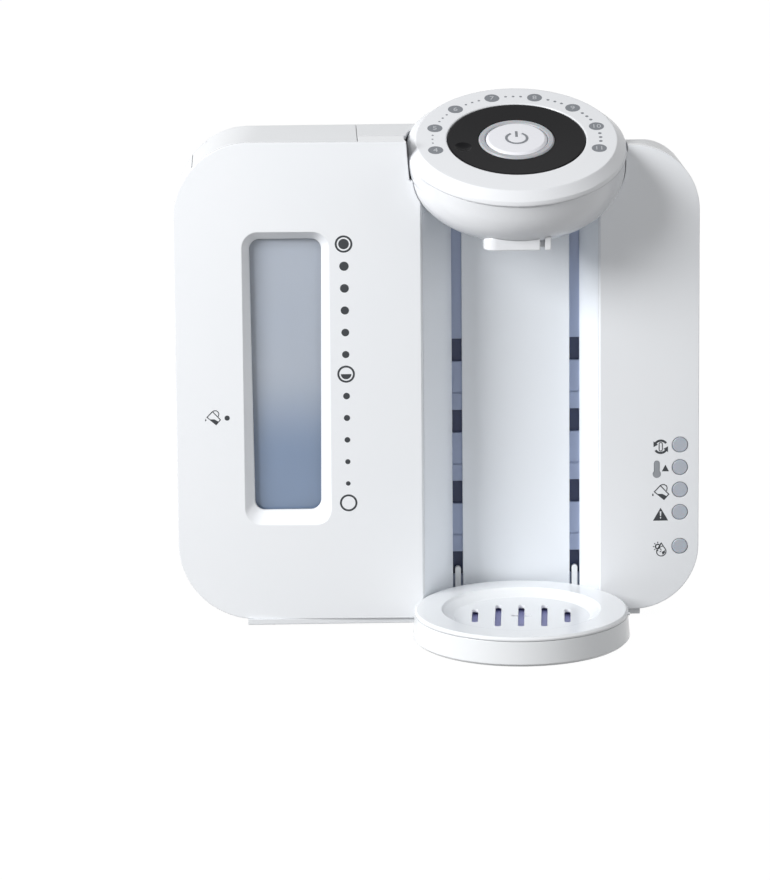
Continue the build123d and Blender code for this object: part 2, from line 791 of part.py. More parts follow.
# ---------------------------------------------------------------- head shells
inner_turn = bowl_drop - bowl_straight - wall
with BuildPart() as head_cover:
    with BuildSketch(head_section):
        with BuildLine():
            hole = dial_r + dial_gap
            Polyline((hole, -wall), (hole, -0.5), (hole + 0.5, 0), (face_r, 0),
                     (bevel_r, -bevel_drop), (head_r, -seam_drop + 1), (head_r, -seam_drop),
                     (head_r - wall, -seam_drop), (head_r - wall, -bevel_drop - 0.8),
                     (face_r - 1, -wall), close=True)
        make_face()
    revolve(axis=head_axis)
finish(head_cover.part, "head_cover")

with BuildPart() as head_bowl:
    with BuildSketch(head_section):
        with BuildLine():
            top = -seam_drop - seam_gap
            lip = bevel_r - wall - 2 * works_gap
            lip_in = lip - lap_wall
            Polyline((bowl_r - wall, -bowl_straight), (bowl_r - wall, top - lap_rise),
                     (lip_in, top - lap_rise), (lip_in, top + lap_rise - 2 * works_gap),
                     (lip, top + lap_rise - 2 * works_gap), (lip, top),
                     (bowl_r, top), (bowl_r, -bowl_straight))
            EllipticalCenterArc((bowl_floor_r, -bowl_straight), bowl_r - bowl_floor_r,
                                bowl_drop - bowl_straight, start_angle=270, arc_size=90)
            Polyline((bowl_floor_r, -bowl_drop), (0, -bowl_drop), (0, -bowl_drop + wall),
                     (bowl_floor_r, -bowl_drop + wall))
            EllipticalCenterArc((bowl_floor_r, -bowl_straight), bowl_r - bowl_floor_r - wall,
                                inner_turn, start_angle=270, arc_size=90)
        make_face()
    revolve(axis=head_axis)
    with BuildSketch(Plane.XY.offset(nozzle_bottom)):
        with Locations((nozzle_x, front_y + nozzle_depth)):
            with GridLocations(outlet_pitch, 0, 2, 1):
                Circle(outlet_r + works_gap)
    extrude(amount=bowl_drop / 2, mode=Mode.SUBTRACT)
finish(head_bowl.part, "head_bowl")

# ---------------------------------------------------------------- nozzle
nozzle_overall = nozzle_width + nozzle_slot + nozzle_tab
nozzle_left = nozzle_x - nozzle_overall / 2
nozzle_right = nozzle_left + nozzle_width
outlet_low = nozzle_bottom + 1.5
with BuildPart() as nozzle_block:
    with BuildSketch(Plane.XY.offset(nozzle_bottom)) as nozzle_plan:
        with Locations(((nozzle_left + nozzle_right) / 2, front_y + nozzle_depth)):
            Rectangle(nozzle_width, nozzle_length)
        with Locations((nozzle_x, front_y + nozzle_depth + nozzle_length / 4)):
            Rectangle(nozzle_overall, nozzle_length / 2)
        with Locations((nozzle_right + nozzle_slot + nozzle_tab / 2, front_y + nozzle_depth)):
            Rectangle(nozzle_tab, nozzle_length)
        fillet(nozzle_plan.vertices().group_by(Axis.Y)[0].sort_by(Axis.X)[0], nozzle_length * 0.4)
    extrude(amount=bowl_drop / 2)
    add(head_form(works_gap / 3), mode=Mode.SUBTRACT)
    with BuildSketch(Plane.XY.offset(nozzle_bottom - 1)):
        with Locations((nozzle_x, front_y + nozzle_depth)):
            with GridLocations(outlet_pitch, 0, 2, 1):
                Circle(outlet_r + works_gap)
    extrude(amount=bowl_drop / 2, mode=Mode.SUBTRACT)
finish(nozzle_block.part, "nozzle_block")

with BuildPart() as nozzle_outlets:
    with BuildSketch(Plane.XY.offset(outlet_low)):
        with Locations((nozzle_x, front_y + nozzle_depth)):
            with GridLocations(outlet_pitch, 0, 2, 1):
                Circle(outlet_r)
                Circle(outlet_r / 2, mode=Mode.SUBTRACT)
    extrude(amount=bowl_drop / 2)
finish(nozzle_outlets.part, "nozzle_outlets")

# ---------------------------------------------------------------- dial and start button
carrier_top = -dial_hub_drop + carrier_thick + 1
hub_r = dial_inner_r + dial_hub_wall
with BuildPart() as selector_dial:
    with BuildSketch(head_section):
        with BuildLine():
            Polyline((dial_inner_r, -dial_dish), (dial_r - 0.6, -0.1), (dial_r, -0.6),
                     (dial_r, -dial_thick), (hub_r, -dial_thick), (hub_r, -dial_hub_drop),
                     (dial_inner_r, -dial_hub_drop), close=True)
        make_face()
    revolve(axis=head_axis)
    dimple_x = dimple_r * cos(radians(home_angle))
    dimple_y = dimple_r * sin(radians(home_angle))
    with Locations(face_plane.location * Location((dimple_x, dimple_y, dimple_ball - dimple_sink))):
        Sphere(dimple_ball, mode=Mode.SUBTRACT)
finish(selector_dial.part, "selector_dial")

with BuildPart() as dial_carrier:
    with BuildSketch(head_section):
        with BuildLine():
            bore = hub_r + hub_gap
            Polyline((bore, carrier_top - carrier_thick), (bore, carrier_top + 3),
                     (bore + 2, carrier_top + 3),
                     (bore + 2, carrier_top), (dial_r - 4, carrier_top),
                     (dial_r - 4, -dial_thick - 0.3), (dial_r - 2, -dial_thick - 0.3),
                     (dial_r + 3, -dial_thick - 0.3), (dial_r + 3, -wall - 0.1),
                     (dial_r + 6, -wall - 0.1), (dial_r + 6, carrier_top - carrier_thick), close=True)
        make_face()
    revolve(axis=head_axis)
finish(dial_carrier.part, "dial_carrier")

ring_foot = -dial_hub_drop - 2.0
stem_foot = ring_foot - 0.6
push_top = stem_foot - button_travel - works_gap
board_top = push_top - push_height
with BuildPart() as light_ring:
    with BuildSketch(head_section):
        with BuildLine():
            ring_in = button_r + button_gap
            Polyline((ring_in, -2), (ring_in, -0.6), (ring_in + 0.6, 0.0),
                     (light_ring_r - 0.8, 0.0), (light_ring_r, -0.8), (light_ring_r, ring_foot),
                     (stem_r + 0.1, ring_foot), (stem_r + 0.1, ring_foot + 2),
                     (light_ring_r - 2, ring_foot + 2), (light_ring_r - 2, -2), close=True)
        make_face()
    revolve(axis=head_axis)
finish(light_ring.part, "light_ring")

with BuildPart() as start_button:
    with BuildSketch(head_section):
        with BuildLine():
            Polyline((0, button_proud), (button_r - 1.6, button_proud - 0.25),
                     (button_r, button_proud - 1.4), (button_r, button_proud - button_thick),
                     (stem_r, button_proud - button_thick), (stem_r, ring_foot + 0.2),
                     (stem_r - 0.8, stem_foot), (0, stem_foot), close=True)
        make_face()
    revolve(axis=head_axis)
finish(start_button.part, "start_button")

spring_low = ring_foot + 2 + spring_wire / 2 + 0.15
spring_high = button_proud - button_thick - spring_wire / 2 - 0.15
spring_r = stem_r + spring_wire + 1.0
with BuildPart() as start_spring:
    with BuildLine() as coil:
        Helix(pitch=(spring_high - spring_low) / spring_turns, height=spring_high - spring_low,
              radius=spring_r, center=head_origin + head_up * spring_low, direction=head_up)
    with BuildSketch(Plane(origin=coil.line @ 0, z_dir=coil.line % 0)):
        Circle(spring_wire / 2)
    sweep(is_frenet=True)
finish(start_spring.part, "start_spring")

with BuildPart() as dial_board:
    with BuildSketch(head_section):
        with BuildLine():
            board_r = dial_r + 5
            Polyline((0, board_top), (board_r - 3, board_top),
                     (board_r - 3, carrier_top - carrier_thick),
                     (board_r, carrier_top - carrier_thick), (board_r, board_top - board_thick),
                     (0, board_top - board_thick), close=True)
        make_face()
    revolve(axis=head_axis)
    with BuildSketch(face_plane.offset(board_top)):
        Rectangle(push_width, push_width)
    extrude(amount=push_height)
finish(dial_board.part, "dial_board")

# ---------------------------------------------------------------- lamps and keys
for lamp_name, lamp_z in lamp_heights.items():
    is_key = lamp_name.endswith("_button")
    with BuildPart() as lamp:
        surface = bow_depth(lamp_x)
        stem_end = board_face - (key_travel + key_switch_rise + works_gap / 3 if is_key else 0)
        front = surface - (key_proud if is_key else lamp_proud)
        with BuildSketch(depth_plane(front)):
            with Locations((lamp_x, lamp_z)):
                Circle(lamp_r)
        extrude(amount=-(surface + wall + lamp_gap + lamp_flange - front))
        chamfer(lamp.edges().group_by(Axis.Y)[0], lamp_chamfer)
        with BuildSketch(depth_plane(surface + wall + lamp_gap)):
            with Locations((lamp_x, lamp_z)):
                Circle(lamp_r + lamp_flange)
        extrude(amount=-lamp_flange)
        with BuildSketch(depth_plane(surface + wall)):
            with Locations((lamp_x, lamp_z)):
                Circle(lamp_r / 2)
        extrude(amount=-(stem_end - surface - wall))
    finish(lamp.part, lamp_name)

with BuildPart() as lamp_board:
    lamp_low = min(lamp_heights.values()) - lamp_board_margin
    lamp_high = max(lamp_heights.values()) + lamp_board_margin
    lamp_board_x = lamp_x + key_switch - lamp_board_width / 2
    with BuildSketch(depth_plane(lamp_board_depth)):
        with Locations((lamp_board_x, (lamp_low + lamp_high) / 2)):
            RectangleRounded(lamp_board_width, lamp_high - lamp_low, board_corner_r)
    extrude(amount=-board_thick)
    with BuildSketch(depth_plane(lamp_board_depth)):
        for key in ("filter_button", "clean_button"):
            with Locations((lamp_x, lamp_heights[key])):
                Rectangle(key_switch, key_switch)
    extrude(amount=key_switch_rise)
finish(lamp_board.part, "lamp_board")

# ---------------------------------------------------------------- tank
def tank_form(inset, top):
    """Solid form of the tank, drawn in by an inset, up to a height."""
    with BuildPart() as form:
        with BuildSketch(Plane.XY.offset(tank_bottom + inset)):
            with Locations((tank_mid_x, front_y + tank_mid_depth)):
                RectangleRounded(tank_right - tank_left - 2 * inset,
                                 tank_back - tank_front - 2 * inset, tank_corner - inset)
        extrude(amount=top - tank_bottom - inset)
        with BuildSketch(depth_plane(tank_front - wall)) as outline:
            with Locations((tank_mid_x, (tank_bottom + inset + top) / 2)):
                Rectangle(tank_right - tank_left - 2 * inset, top - tank_bottom - inset)
            lower = outline.vertices().group_by(Axis.Y)[0].sort_by(Axis.X)
            fillet(lower[0], tank_bilge - inset)
            lower = outline.vertices().group_by(Axis.Y)[0].sort_by(Axis.X)
            fillet(lower[-1], tank_heel - inset)
        extrude(amount=-(tank_back - tank_front + 2 * wall), mode=Mode.INTERSECT)
    return form.part


def hinge_ends(side, width, outward):
    """Near and far x of a hinge piece that starts at the joint face and has a width."""
    face_x = tank_mid_x + side * hinge_span / 2
    return sorted((face_x, face_x + side * outward * width))


floor_z = tank_bottom + tank_wall
seat_r = filter_r - filter_wall - filter_gap
bilge_in = tank_bilge - tank_wall
bilge_overhang = max(0.0, tank_left + tank_bilge - float_x + float_r)
float_low = floor_z + float_gap + bilge_in - sqrt(bilge_in**2 - bilge_overhang**2)
post_top = float_low + float_height + float_travel + 4
with BuildPart() as water_tank:
    add(tank_form(0, tank_top))
    add(tank_form(tank_wall, tank_top + wall), mode=Mode.SUBTRACT)
    # outlet spigot under the filter, and the keyed ring that the filter stands on
    with BuildSketch(Plane.XY.offset(tank_bottom - spigot_drop)):
        with Locations((filter_x, front_y + filter_depth)):
            Circle(spigot_r)
    extrude(amount=spigot_drop + 0.5)
    with BuildSketch(Plane.XY.offset(floor_z - 0.5)):
        with Locations((filter_x, front_y + filter_depth)):
            Circle(seat_r)
            with PolarLocations(seat_r, filter_notches):
                Rectangle(2 * filter_wall, filter_notch_width - 2 * filter_gap)
    extrude(amount=filter_notch_height - 1)
    with BuildSketch(Plane.XY.offset(floor_z - 0.5)):
        with Locations((filter_x, front_y + filter_depth)):
            Circle(seat_r)
    extrude(amount=filter_seat_height + 0.5)
    with BuildSketch(Plane.XY.offset(tank_bottom - spigot_drop - 1)):
        with Locations((filter_x, front_y + filter_depth)):
            Circle(spigot_r - 2)
    extrude(amount=spigot_drop + filter_seat_height + 10, mode=Mode.SUBTRACT)
    # guide post of the level float
    with BuildSketch(Plane.XY.offset(floor_z - 0.5)):
        with Locations((float_x, front_y + float_depth)):
            Circle(float_post_r)
    extrude(amount=post_top - floor_z + 0.5)
    with BuildSketch(Plane.XY.offset(post_top)):
        with Locations((float_x, front_y + float_depth)):
            Circle(float_post_r + 1.2)
    extrude(amount=1.2)
    # ears and pegs of the lid's hinge
    for side in (-1, 1):
        ear = hinge_ends(side, hinge_ear_width, -1)
        with BuildSketch(Plane.YZ.offset(ear[0])):
            with Locations((front_y + hinge_depth, hinge_height)):
                Circle(hinge_ear_r)
            with BuildLine():
                axis_y = front_y + hinge_depth
                Polyline((axis_y - hinge_ear_r, hinge_height), (axis_y + hinge_ear_r, hinge_height),
                         (front_y + tank_back, tank_top - tank_wall),
                         (front_y + tank_back, tank_top - 3 * tank_wall),
                         (axis_y - hinge_ear_r, tank_top - tank_wall), close=True)
            make_face()
        extrude(amount=hinge_ear_width)
        peg = hinge_ends(side, hinge_lug_width, 1)
        with BuildSketch(Plane.YZ.offset(peg[0])):
            with Locations((front_y + hinge_depth, hinge_height)):
                Circle(hinge_pin_r)
        extrude(amount=hinge_lug_width)
finish(water_tank.part, "water_tank")

with BuildPart() as tank_lid:
    add(left_outer)
    add(left_inner, mode=Mode.SUBTRACT)
    add(lid_hole(0), mode=Mode.INTERSECT)
    for side in (-1, 1):
        lug = hinge_ends(side, hinge_lug_width, 1)
        lug_start = lug[0] + (lid_gap if side > 0 else 0)
        with BuildSketch(Plane.YZ.offset(lug_start)):
            with Locations((front_y + hinge_depth, hinge_height)):
                Circle(hinge_ear_r)
            with Locations((front_y + hinge_depth, (hinge_height + body_height) / 2)):
                Rectangle(2 * hinge_ear_r, body_height - hinge_height)
        extrude(amount=hinge_lug_width - lid_gap)
        ear = hinge_ends(side, hinge_ear_width, -1)
        add(box_at((ear[0] - lid_gap, hinge_depth + 0.4 * hinge_ear_r, tank_top),
                   (ear[1] + lid_gap, lid_back, body_height)), mode=Mode.SUBTRACT)
    with BuildSketch(Plane.YZ.offset(tank_left)):
        with Locations((front_y + hinge_depth, hinge_height)):
            Circle(hinge_pin_r + hub_gap)
    extrude(amount=tank_right - tank_left, mode=Mode.SUBTRACT)
    add(left_outer, mode=Mode.INTERSECT)
finish(tank_lid.part, "tank_lid")

# ---------------------------------------------------------------- filter
filter_axis = Axis((filter_x, front_y + filter_depth, 0), (0, 0, 1))
filter_section = Plane.XZ.offset(-(front_y + filter_depth))
filter_low = floor_z + filter_gap
cap_low = filter_low + filter_length - filter_cap_height
band_low = cap_low - filter_band_height
with BuildPart() as filter_case:
    with BuildSketch(filter_section):
        with BuildLine():
            outer = filter_x + filter_r
            flange = filter_x + filter_flange_r
            Polyline((outer - filter_wall, filter_low), (outer, filter_low), (outer, band_low - 3),
                     (flange, band_low - 2), (flange, band_low), (flange - 1.2, band_low),
                     (flange - 1.2, cap_low - filter_gap),
                     (flange - 1.2 - filter_wall, cap_low - filter_gap),
                     (flange - 1.2 - filter_wall, band_low - 1), (outer - filter_wall, band_low - 3),
                     close=True)
        make_face()
    revolve(axis=filter_axis)
    with BuildSketch(Plane.XY.offset(filter_low)):
        with Locations((filter_x, front_y + filter_depth)):
            with PolarLocations(filter_r, filter_notches):
                Rectangle(filter_r / 2, filter_notch_width)
    extrude(amount=filter_notch_height, mode=Mode.SUBTRACT)
finish(filter_case.part, "filter_case")

with BuildPart() as filter_cap:
    with BuildSketch(Plane.XY.offset(cap_low)):
        with Locations((filter_x, front_y + filter_depth)):
            Circle(filter_cap_r)
            with PolarLocations(filter_cap_r + scallop_r * 0.45, cap_scallops):
                Circle(scallop_r, mode=Mode.SUBTRACT)
    extrude(amount=filter_cap_height - 2)
    with BuildSketch(Plane.XY.offset(cap_low + filter_cap_height - 2)):
        with Locations((filter_x, front_y + filter_depth)):
            Circle(filter_cap_r - 3.2)
    extrude(amount=2, taper=30)
    with BuildSketch(Plane.XY.offset(cap_low)):
        with Locations((filter_x, front_y + filter_depth)):
            Circle(filter_cap_r - 5)
    extrude(amount=filter_cap_height - 3, mode=Mode.SUBTRACT)
    with BuildSketch(Plane.XY.offset(cap_low)):
        with Locations((filter_x, front_y + filter_depth)):
            with GridLocations(9, 6, 3, 5):
                SlotOverall(6, 1.8)
    extrude(amount=filter_cap_height + 1, mode=Mode.SUBTRACT)
finish(filter_cap.part, "filter_cap")

with BuildPart() as filter_media:
    with BuildSketch(Plane.XY.offset(filter_low + filter_seat_height + 2)):
        with Locations((filter_x, front_y + filter_depth)):
            Circle(filter_r - filter_wall - filter_gap)
    extrude(amount=band_low - filter_low - filter_seat_height - 4)
finish(filter_media.part, "filter_media")

with BuildPart() as level_float:
    with BuildSketch(Plane.XY.offset(float_low)):
        with Locations((float_x, front_y + float_depth)):
            Circle(float_r)
            Circle(float_post_r + float_gap, mode=Mode.SUBTRACT)
    extrude(amount=float_height)
finish(level_float.part, "level_float")

# ---------------------------------------------------------------- tank bay and socket
bay_wall_x = lid_right + lid_gap
bay_space_left = left_form(wall + works_gap)
with BuildPart() as bay_wall:
    add(box_at((bay_wall_x, wall + works_gap, shell_floor),
               (bay_wall_x + bay_plate, rear_inner_depth, body_height)))
    add(bay_space_left, mode=Mode.INTERSECT)
finish(bay_wall.part, "bay_wall")

with BuildPart() as bay_floor:
    add(box_at((plate_left, wall + works_gap, shell_floor),
               (bay_wall_x - works_gap / 3, rear_inner_depth, shell_floor + bay_plate)))
    add(bay_space_left, mode=Mode.INTERSECT)
finish(bay_floor.part, "bay_floor")

socket_low = shell_floor + bay_plate + works_gap / 3
with BuildPart() as tank_socket:
    with BuildSketch(Plane.XY.offset(socket_low)):
        with Locations((filter_x, front_y + filter_depth)):
            Circle(spigot_r + 4)
            Circle(spigot_r - 3, mode=Mode.SUBTRACT)
    extrude(amount=1.0)
    with BuildSketch(Plane.XY.offset(socket_low)):
        with Locations((filter_x, front_y + filter_depth)):
            Circle(spigot_r + 4)
            Circle(spigot_r + 2, mode=Mode.SUBTRACT)
    extrude(amount=tank_bottom - works_gap - socket_low)
finish(tank_socket.part, "tank_socket")

with BuildPart() as socket_seal:
    with BuildSketch(Plane.XY.offset(tank_bottom - spigot_drop + 0.6)):
        with Locations((filter_x, front_y + filter_depth)):
            Circle(spigot_r + 2 - works_gap / 3)
            Circle(spigot_r + works_gap / 2, mode=Mode.SUBTRACT)
    extrude(amount=2.0)
finish(socket_seal.part, "socket_seal")

# ---------------------------------------------------------------- works
with BuildPart() as boiler:
    with BuildSketch(Plane.XY.offset(boiler_bottom)):
        with Locations((boiler_x, front_y + boiler_depth)):
            Circle(boiler_r)
    extrude(amount=boiler_height)
    fillet(boiler.edges().filter_by(GeomType.CIRCLE), boiler_round)
    with BuildSketch(Plane.XY.offset(boiler_bottom + boiler_wall)):
        with Locations((boiler_x, front_y + boiler_depth)):
            Circle(boiler_r - boiler_wall)
    extrude(amount=boiler_height - boiler_round - boiler_wall, mode=Mode.SUBTRACT)
    with BuildSketch(Plane.XY.offset(boiler_bottom + boiler_height - boiler_round)):
        with Locations((boiler_x, front_y + boiler_depth)):
            Circle(tube_r + boiler_wall)
    extrude(amount=boiler_round + boiler_port)
    with BuildSketch(Plane.XY.offset(boiler_bottom + boiler_height / 2)):
        with Locations((boiler_x, front_y + boiler_depth)):
            Circle(tube_r)
    extrude(amount=boiler_height / 2 + boiler_port + wall, mode=Mode.SUBTRACT)
finish(boiler.part, "boiler")

with BuildPart() as boiler_cradle:
    with BuildSketch(Plane.XY.offset(shell_floor)):
        with Locations((boiler_x, front_y + boiler_depth)):
            Rectangle(cradle_width, 2 * (boiler_r - cradle_web))
    extrude(amount=cradle_foot)
    with BuildSketch(Plane.XY.offset(shell_floor)):
        with Locations((boiler_x, front_y + boiler_depth)):
            Rectangle(cradle_width, cradle_web)
            Rectangle(cradle_web, cradle_reach)
    extrude(amount=boiler_bottom - works_gap / 3 - shell_floor)
    add(right_form(wall + works_gap / 3), mode=Mode.INTERSECT)
finish(boiler_cradle.part, "boiler_cradle")

with BuildPart() as pump:
    with BuildSketch(depth_plane(pump_depth - pump_length / 2)):
        with Locations((pump_x, pump_height)):
            Circle(pump_r)
    extrude(amount=-pump_length)
    with BuildSketch(depth_plane(pump_depth - pump_length / 2 - pump_port)):
        with Locations((pump_x, pump_height)):
            Circle(tube_r)
    extrude(amount=-pump_length - 2 * pump_port)
    with BuildSketch(Plane.XY.offset(shell_floor)):
        with Locations((pump_x, front_y + pump_depth)):
            with GridLocations(0, pump_length - 4 * pump_foot, 1, 2):
                Rectangle(2 * (pump_r - pump_foot / 2), pump_foot)
    extrude(amount=pump_height - shell_floor)
finish(pump.part, "pump")

with BuildPart() as control_board:
    with BuildSketch(depth_plane(board_depth)):
        with Locations((bay_x, board_z)):
            RectangleRounded(board_width, board_height, board_corner_r)
    extrude(amount=-(board_thick - works_gap / 3))
    with BuildSketch(depth_plane(board_depth)):
        for block_x, block_z, block_width, block_height in (transformer, relay, terminals):
            with Locations((bay_x + block_x, board_z + block_z)):
                Rectangle(block_width, block_height)
        with Locations((bay_x + capacitor[0], board_z + capacitor[1])):
            Circle(capacitor_r)
    extrude(amount=board_rise)
finish(control_board.part, "control_board")

# ---------------------------------------------------------------- rear fittings
with BuildPart() as cord_gland:
    for gland_out, gland_low, gland_high in (
            (gland_r, rear_inner_depth - gland_flange - works_gap, body_depth - works_gap),
            (gland_r + gland_flange, rear_inner_depth - gland_flange - works_gap,
             rear_inner_depth - works_gap)):
        with BuildSketch(depth_plane(gland_low)):
            with Locations((gland_x, gland_z)):
                Circle(gland_out)
                Circle(gland_r / 2, mode=Mode.SUBTRACT)
        extrude(amount=-(gland_high - gland_low))
finish(cord_gland.part, "cord_gland")

pivot_depth = rear_inner_depth - rocker_hub_r
with BuildPart() as switch_housing:
    with BuildSketch(depth_plane(rear_inner_depth - switch_body)):
        with Locations((switch_x, switch_z)):
            Rectangle(switch_width - 2 * works_gap, switch_height - 2 * works_gap)
    extrude(amount=-(switch_body + wall - works_gap))
    with BuildSketch(depth_plane(rear_inner_depth - switch_pocket)):
        with Locations((switch_x, switch_z)):
            Rectangle(switch_width - 2 * switch_frame, switch_height - 2 * switch_frame)
    extrude(amount=-(switch_pocket + wall), mode=Mode.SUBTRACT)
finish(switch_housing.part, "switch_housing")

rocker_half = switch_height / 2 - switch_frame - 2 * rocker_air
rocker_width = switch_width - 2 * switch_frame - 2 * rocker_air
with BuildPart() as power_rocker:
    with BuildSketch(Plane.YZ.offset(switch_x - rocker_width / 2)):
        with Locations((front_y + pivot_depth, switch_z)):
            # a shallow V whose middle is a round hub on the pivot
            Polygon((0, -rocker_hub_r), (rocker_hub_r / 2, -rocker_half),
                    (1.5 * rocker_hub_r, -rocker_half), (rocker_hub_r * 1.2, 0),
                    (1.5 * rocker_hub_r, rocker_half), (rocker_hub_r / 2, rocker_half),
                    (0, rocker_hub_r), rotation=-switch_tilt, align=None)
            Circle(rocker_hub_r)
    extrude(amount=rocker_width)
finish(power_rocker.part, "power_rocker")

screw_mid = front_y + body_depth / 2 + screw_inset / 2
screw_back = front_y + body_depth - screw_inset
screw_spots = [(plate_left + screw_inset, screw_mid), (tank_right + screw_inset, screw_back),
               (plate_right - screw_inset, screw_mid), (bay_x + screw_inset, screw_back)]
with BuildPart() as case_screws:
    with BuildSketch(Plane.XY.offset(skirt_height - plate_thick - screw_head)):
        with Locations(*screw_spots):
            Circle(screw_r)
    extrude(amount=screw_head)
finish(case_screws.part, "case_screws")

print(f"front_y {front_y:.3f}  dial turn {dial_turn:.2f}")
print("head up", tuple(round(v, 6) for v in head_up), "head origin", tuple(head_origin))
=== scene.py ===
"""Looks of a counter-top baby formula maker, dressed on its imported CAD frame.

Frame: +X to the machine's right as its user sees it, +Y to the back, +Z up, in metres, with
the origin under the middle of the machine. Flat artwork is drawn in millimetres.
"""

from __future__ import annotations

import json
import logging
import math
from dataclasses import dataclass, field
from enum import Enum
from typing import Any, Protocol, Sequence

import bmesh
import bpy
from mathutils import Matrix, Vector

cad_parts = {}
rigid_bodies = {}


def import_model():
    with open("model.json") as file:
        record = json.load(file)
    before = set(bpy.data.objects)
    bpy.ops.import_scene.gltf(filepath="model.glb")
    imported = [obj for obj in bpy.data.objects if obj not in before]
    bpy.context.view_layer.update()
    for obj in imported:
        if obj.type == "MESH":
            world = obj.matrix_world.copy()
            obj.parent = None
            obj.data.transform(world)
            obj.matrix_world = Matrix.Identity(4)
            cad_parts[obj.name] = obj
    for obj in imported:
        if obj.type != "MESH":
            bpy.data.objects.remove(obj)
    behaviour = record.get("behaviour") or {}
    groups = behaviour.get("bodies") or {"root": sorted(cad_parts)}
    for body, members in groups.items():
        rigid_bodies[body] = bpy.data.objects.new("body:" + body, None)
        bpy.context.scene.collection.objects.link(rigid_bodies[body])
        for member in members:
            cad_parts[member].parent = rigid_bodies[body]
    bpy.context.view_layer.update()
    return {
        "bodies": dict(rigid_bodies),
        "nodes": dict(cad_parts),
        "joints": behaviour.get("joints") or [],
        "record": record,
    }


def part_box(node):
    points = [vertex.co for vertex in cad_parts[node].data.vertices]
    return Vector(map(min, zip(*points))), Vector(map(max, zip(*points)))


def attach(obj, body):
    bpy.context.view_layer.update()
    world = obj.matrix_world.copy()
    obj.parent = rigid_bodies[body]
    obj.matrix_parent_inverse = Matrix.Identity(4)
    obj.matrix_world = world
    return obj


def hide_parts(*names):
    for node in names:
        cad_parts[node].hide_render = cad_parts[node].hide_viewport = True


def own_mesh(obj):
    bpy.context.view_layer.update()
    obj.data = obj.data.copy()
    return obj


MM = 0.001
LOG = logging.getLogger("formula_maker")

Point = tuple[float, float]
Triple = tuple[float, float, float]
Frame = dict[str, Any]
Mesh = bmesh.types.BMesh
Piece = bpy.types.Object
Node = bpy.types.Node
Socket = bpy.types.NodeSocket
Tree = bpy.types.NodeTree


class Body(str, Enum):
    """Rigid bodies that pieces ride on."""

    HOUSING = "housing"
    START_KEY = "start_key"
    STAND = "stand"


# ---------------------------------------------------------------- colour and nodes
def linear(hex_colour: str) -> tuple[float, float, float, float]:
    """Turn an sRGB hex colour into linear RGBA.

    Args:
        hex_colour: Colour such as "#f4f6f8".

    Returns:
        Linear red, green, blue and an alpha of 1.
    """
    digits = hex_colour.lstrip("#")
    channels = [int(digits[i:i + 2], 16) / 255 for i in (0, 2, 4)]
    red, green, blue = (
        c / 12.92 if c <= 0.04045 else ((c + 0.055) / 1.055) ** 2.4 for c in channels
    )
    return red, green, blue, 1.0


def add_node(tree: Tree, kind: str, settings: dict[Any, Any] | None = None,
             links: dict[Any, Socket] | None = None) -> Node:
    """Add a shader node with its settings and links.

    Args:
        tree: Node tree that gets the node.
        kind: Node type without its "ShaderNode" prefix.
        settings: Socket names or numbers, or node properties, with their values.
        links: Input socket names or numbers with the output sockets that feed them.

    Returns:
        The new node.
    """
    node = tree.nodes.new(f"ShaderNode{kind}")
    for key, value in (settings or {}).items():
        if isinstance(key, int) or key in node.inputs:
            node.inputs[key].default_value = value
        else:
            setattr(node, key, value)
    for key, socket in (links or {}).items():
        tree.links.new(socket, node.inputs[key])
    return node


def new_material(name: str) -> tuple[bpy.types.Material, Tree, Node]:
    """Start a node material.

    Args:
        name: Name of the material.

    Returns:
        The material, its empty node tree and its output node.
    """
    material = bpy.data.materials.new(name)
    material.use_nodes = True
    tree = material.node_tree
    tree.nodes.clear()
    return material, tree, add_node(tree, "OutputMaterial")


def scale_for(spacing_mm: float) -> float:
    """Noise scale whose features lie a real distance apart, in object metres."""
    return 1 / (spacing_mm * MM)


# ---------------------------------------------------------------- finishes
@dataclass(frozen=True)
class Finish:
    """A material whose pattern lies in the object's own coordinates.

    Attributes:
        name: Material name.
        colour: Main colour.
        shade: Colour that the pattern drifts towards.
    """

    name: str
    colour: str
    shade: str

    def build(self) -> bpy.types.Material:
        """Make the material.

        Returns:
            The material, with the finish's shader on its surface.
        """
        material, tree, output = new_material(self.name)
        place = add_node(tree, "TexCoord").outputs["Object"]
        shader = self.shader(tree, place)
        tree.links.new(shader.outputs["BSDF"], output.inputs["Surface"])
        return material

    def shader(self, tree: Tree, place: Socket) -> Node:
        """Add the finish's own nodes; each finish has its way."""
        raise NotImplementedError

    def drift(self, tree: Tree, place: Socket, spacing_mm: float,
              detail: float = 1.0) -> tuple[Socket, Socket]:
        """Let a cloudy pattern drift the colour towards the shade.

        Args:
            tree: Node tree of the material.
            place: Coordinates that the pattern lies in.
            spacing_mm: Distance between the pattern's features.
            detail: Layers of finer cloud in it.

        Returns:
            Sockets with the pattern's strength and with the drifted colour.
        """
        cloud = add_node(tree, "TexNoise", {"Scale": scale_for(spacing_mm), "Detail": detail},
                         {"Vector": place}).outputs["Fac"]
        tint = add_node(tree, "Mix", {"data_type": "RGBA", 6: linear(self.colour),
                                      7: linear(self.shade)}, {0: cloud})
        return cloud, tint.outputs[2]


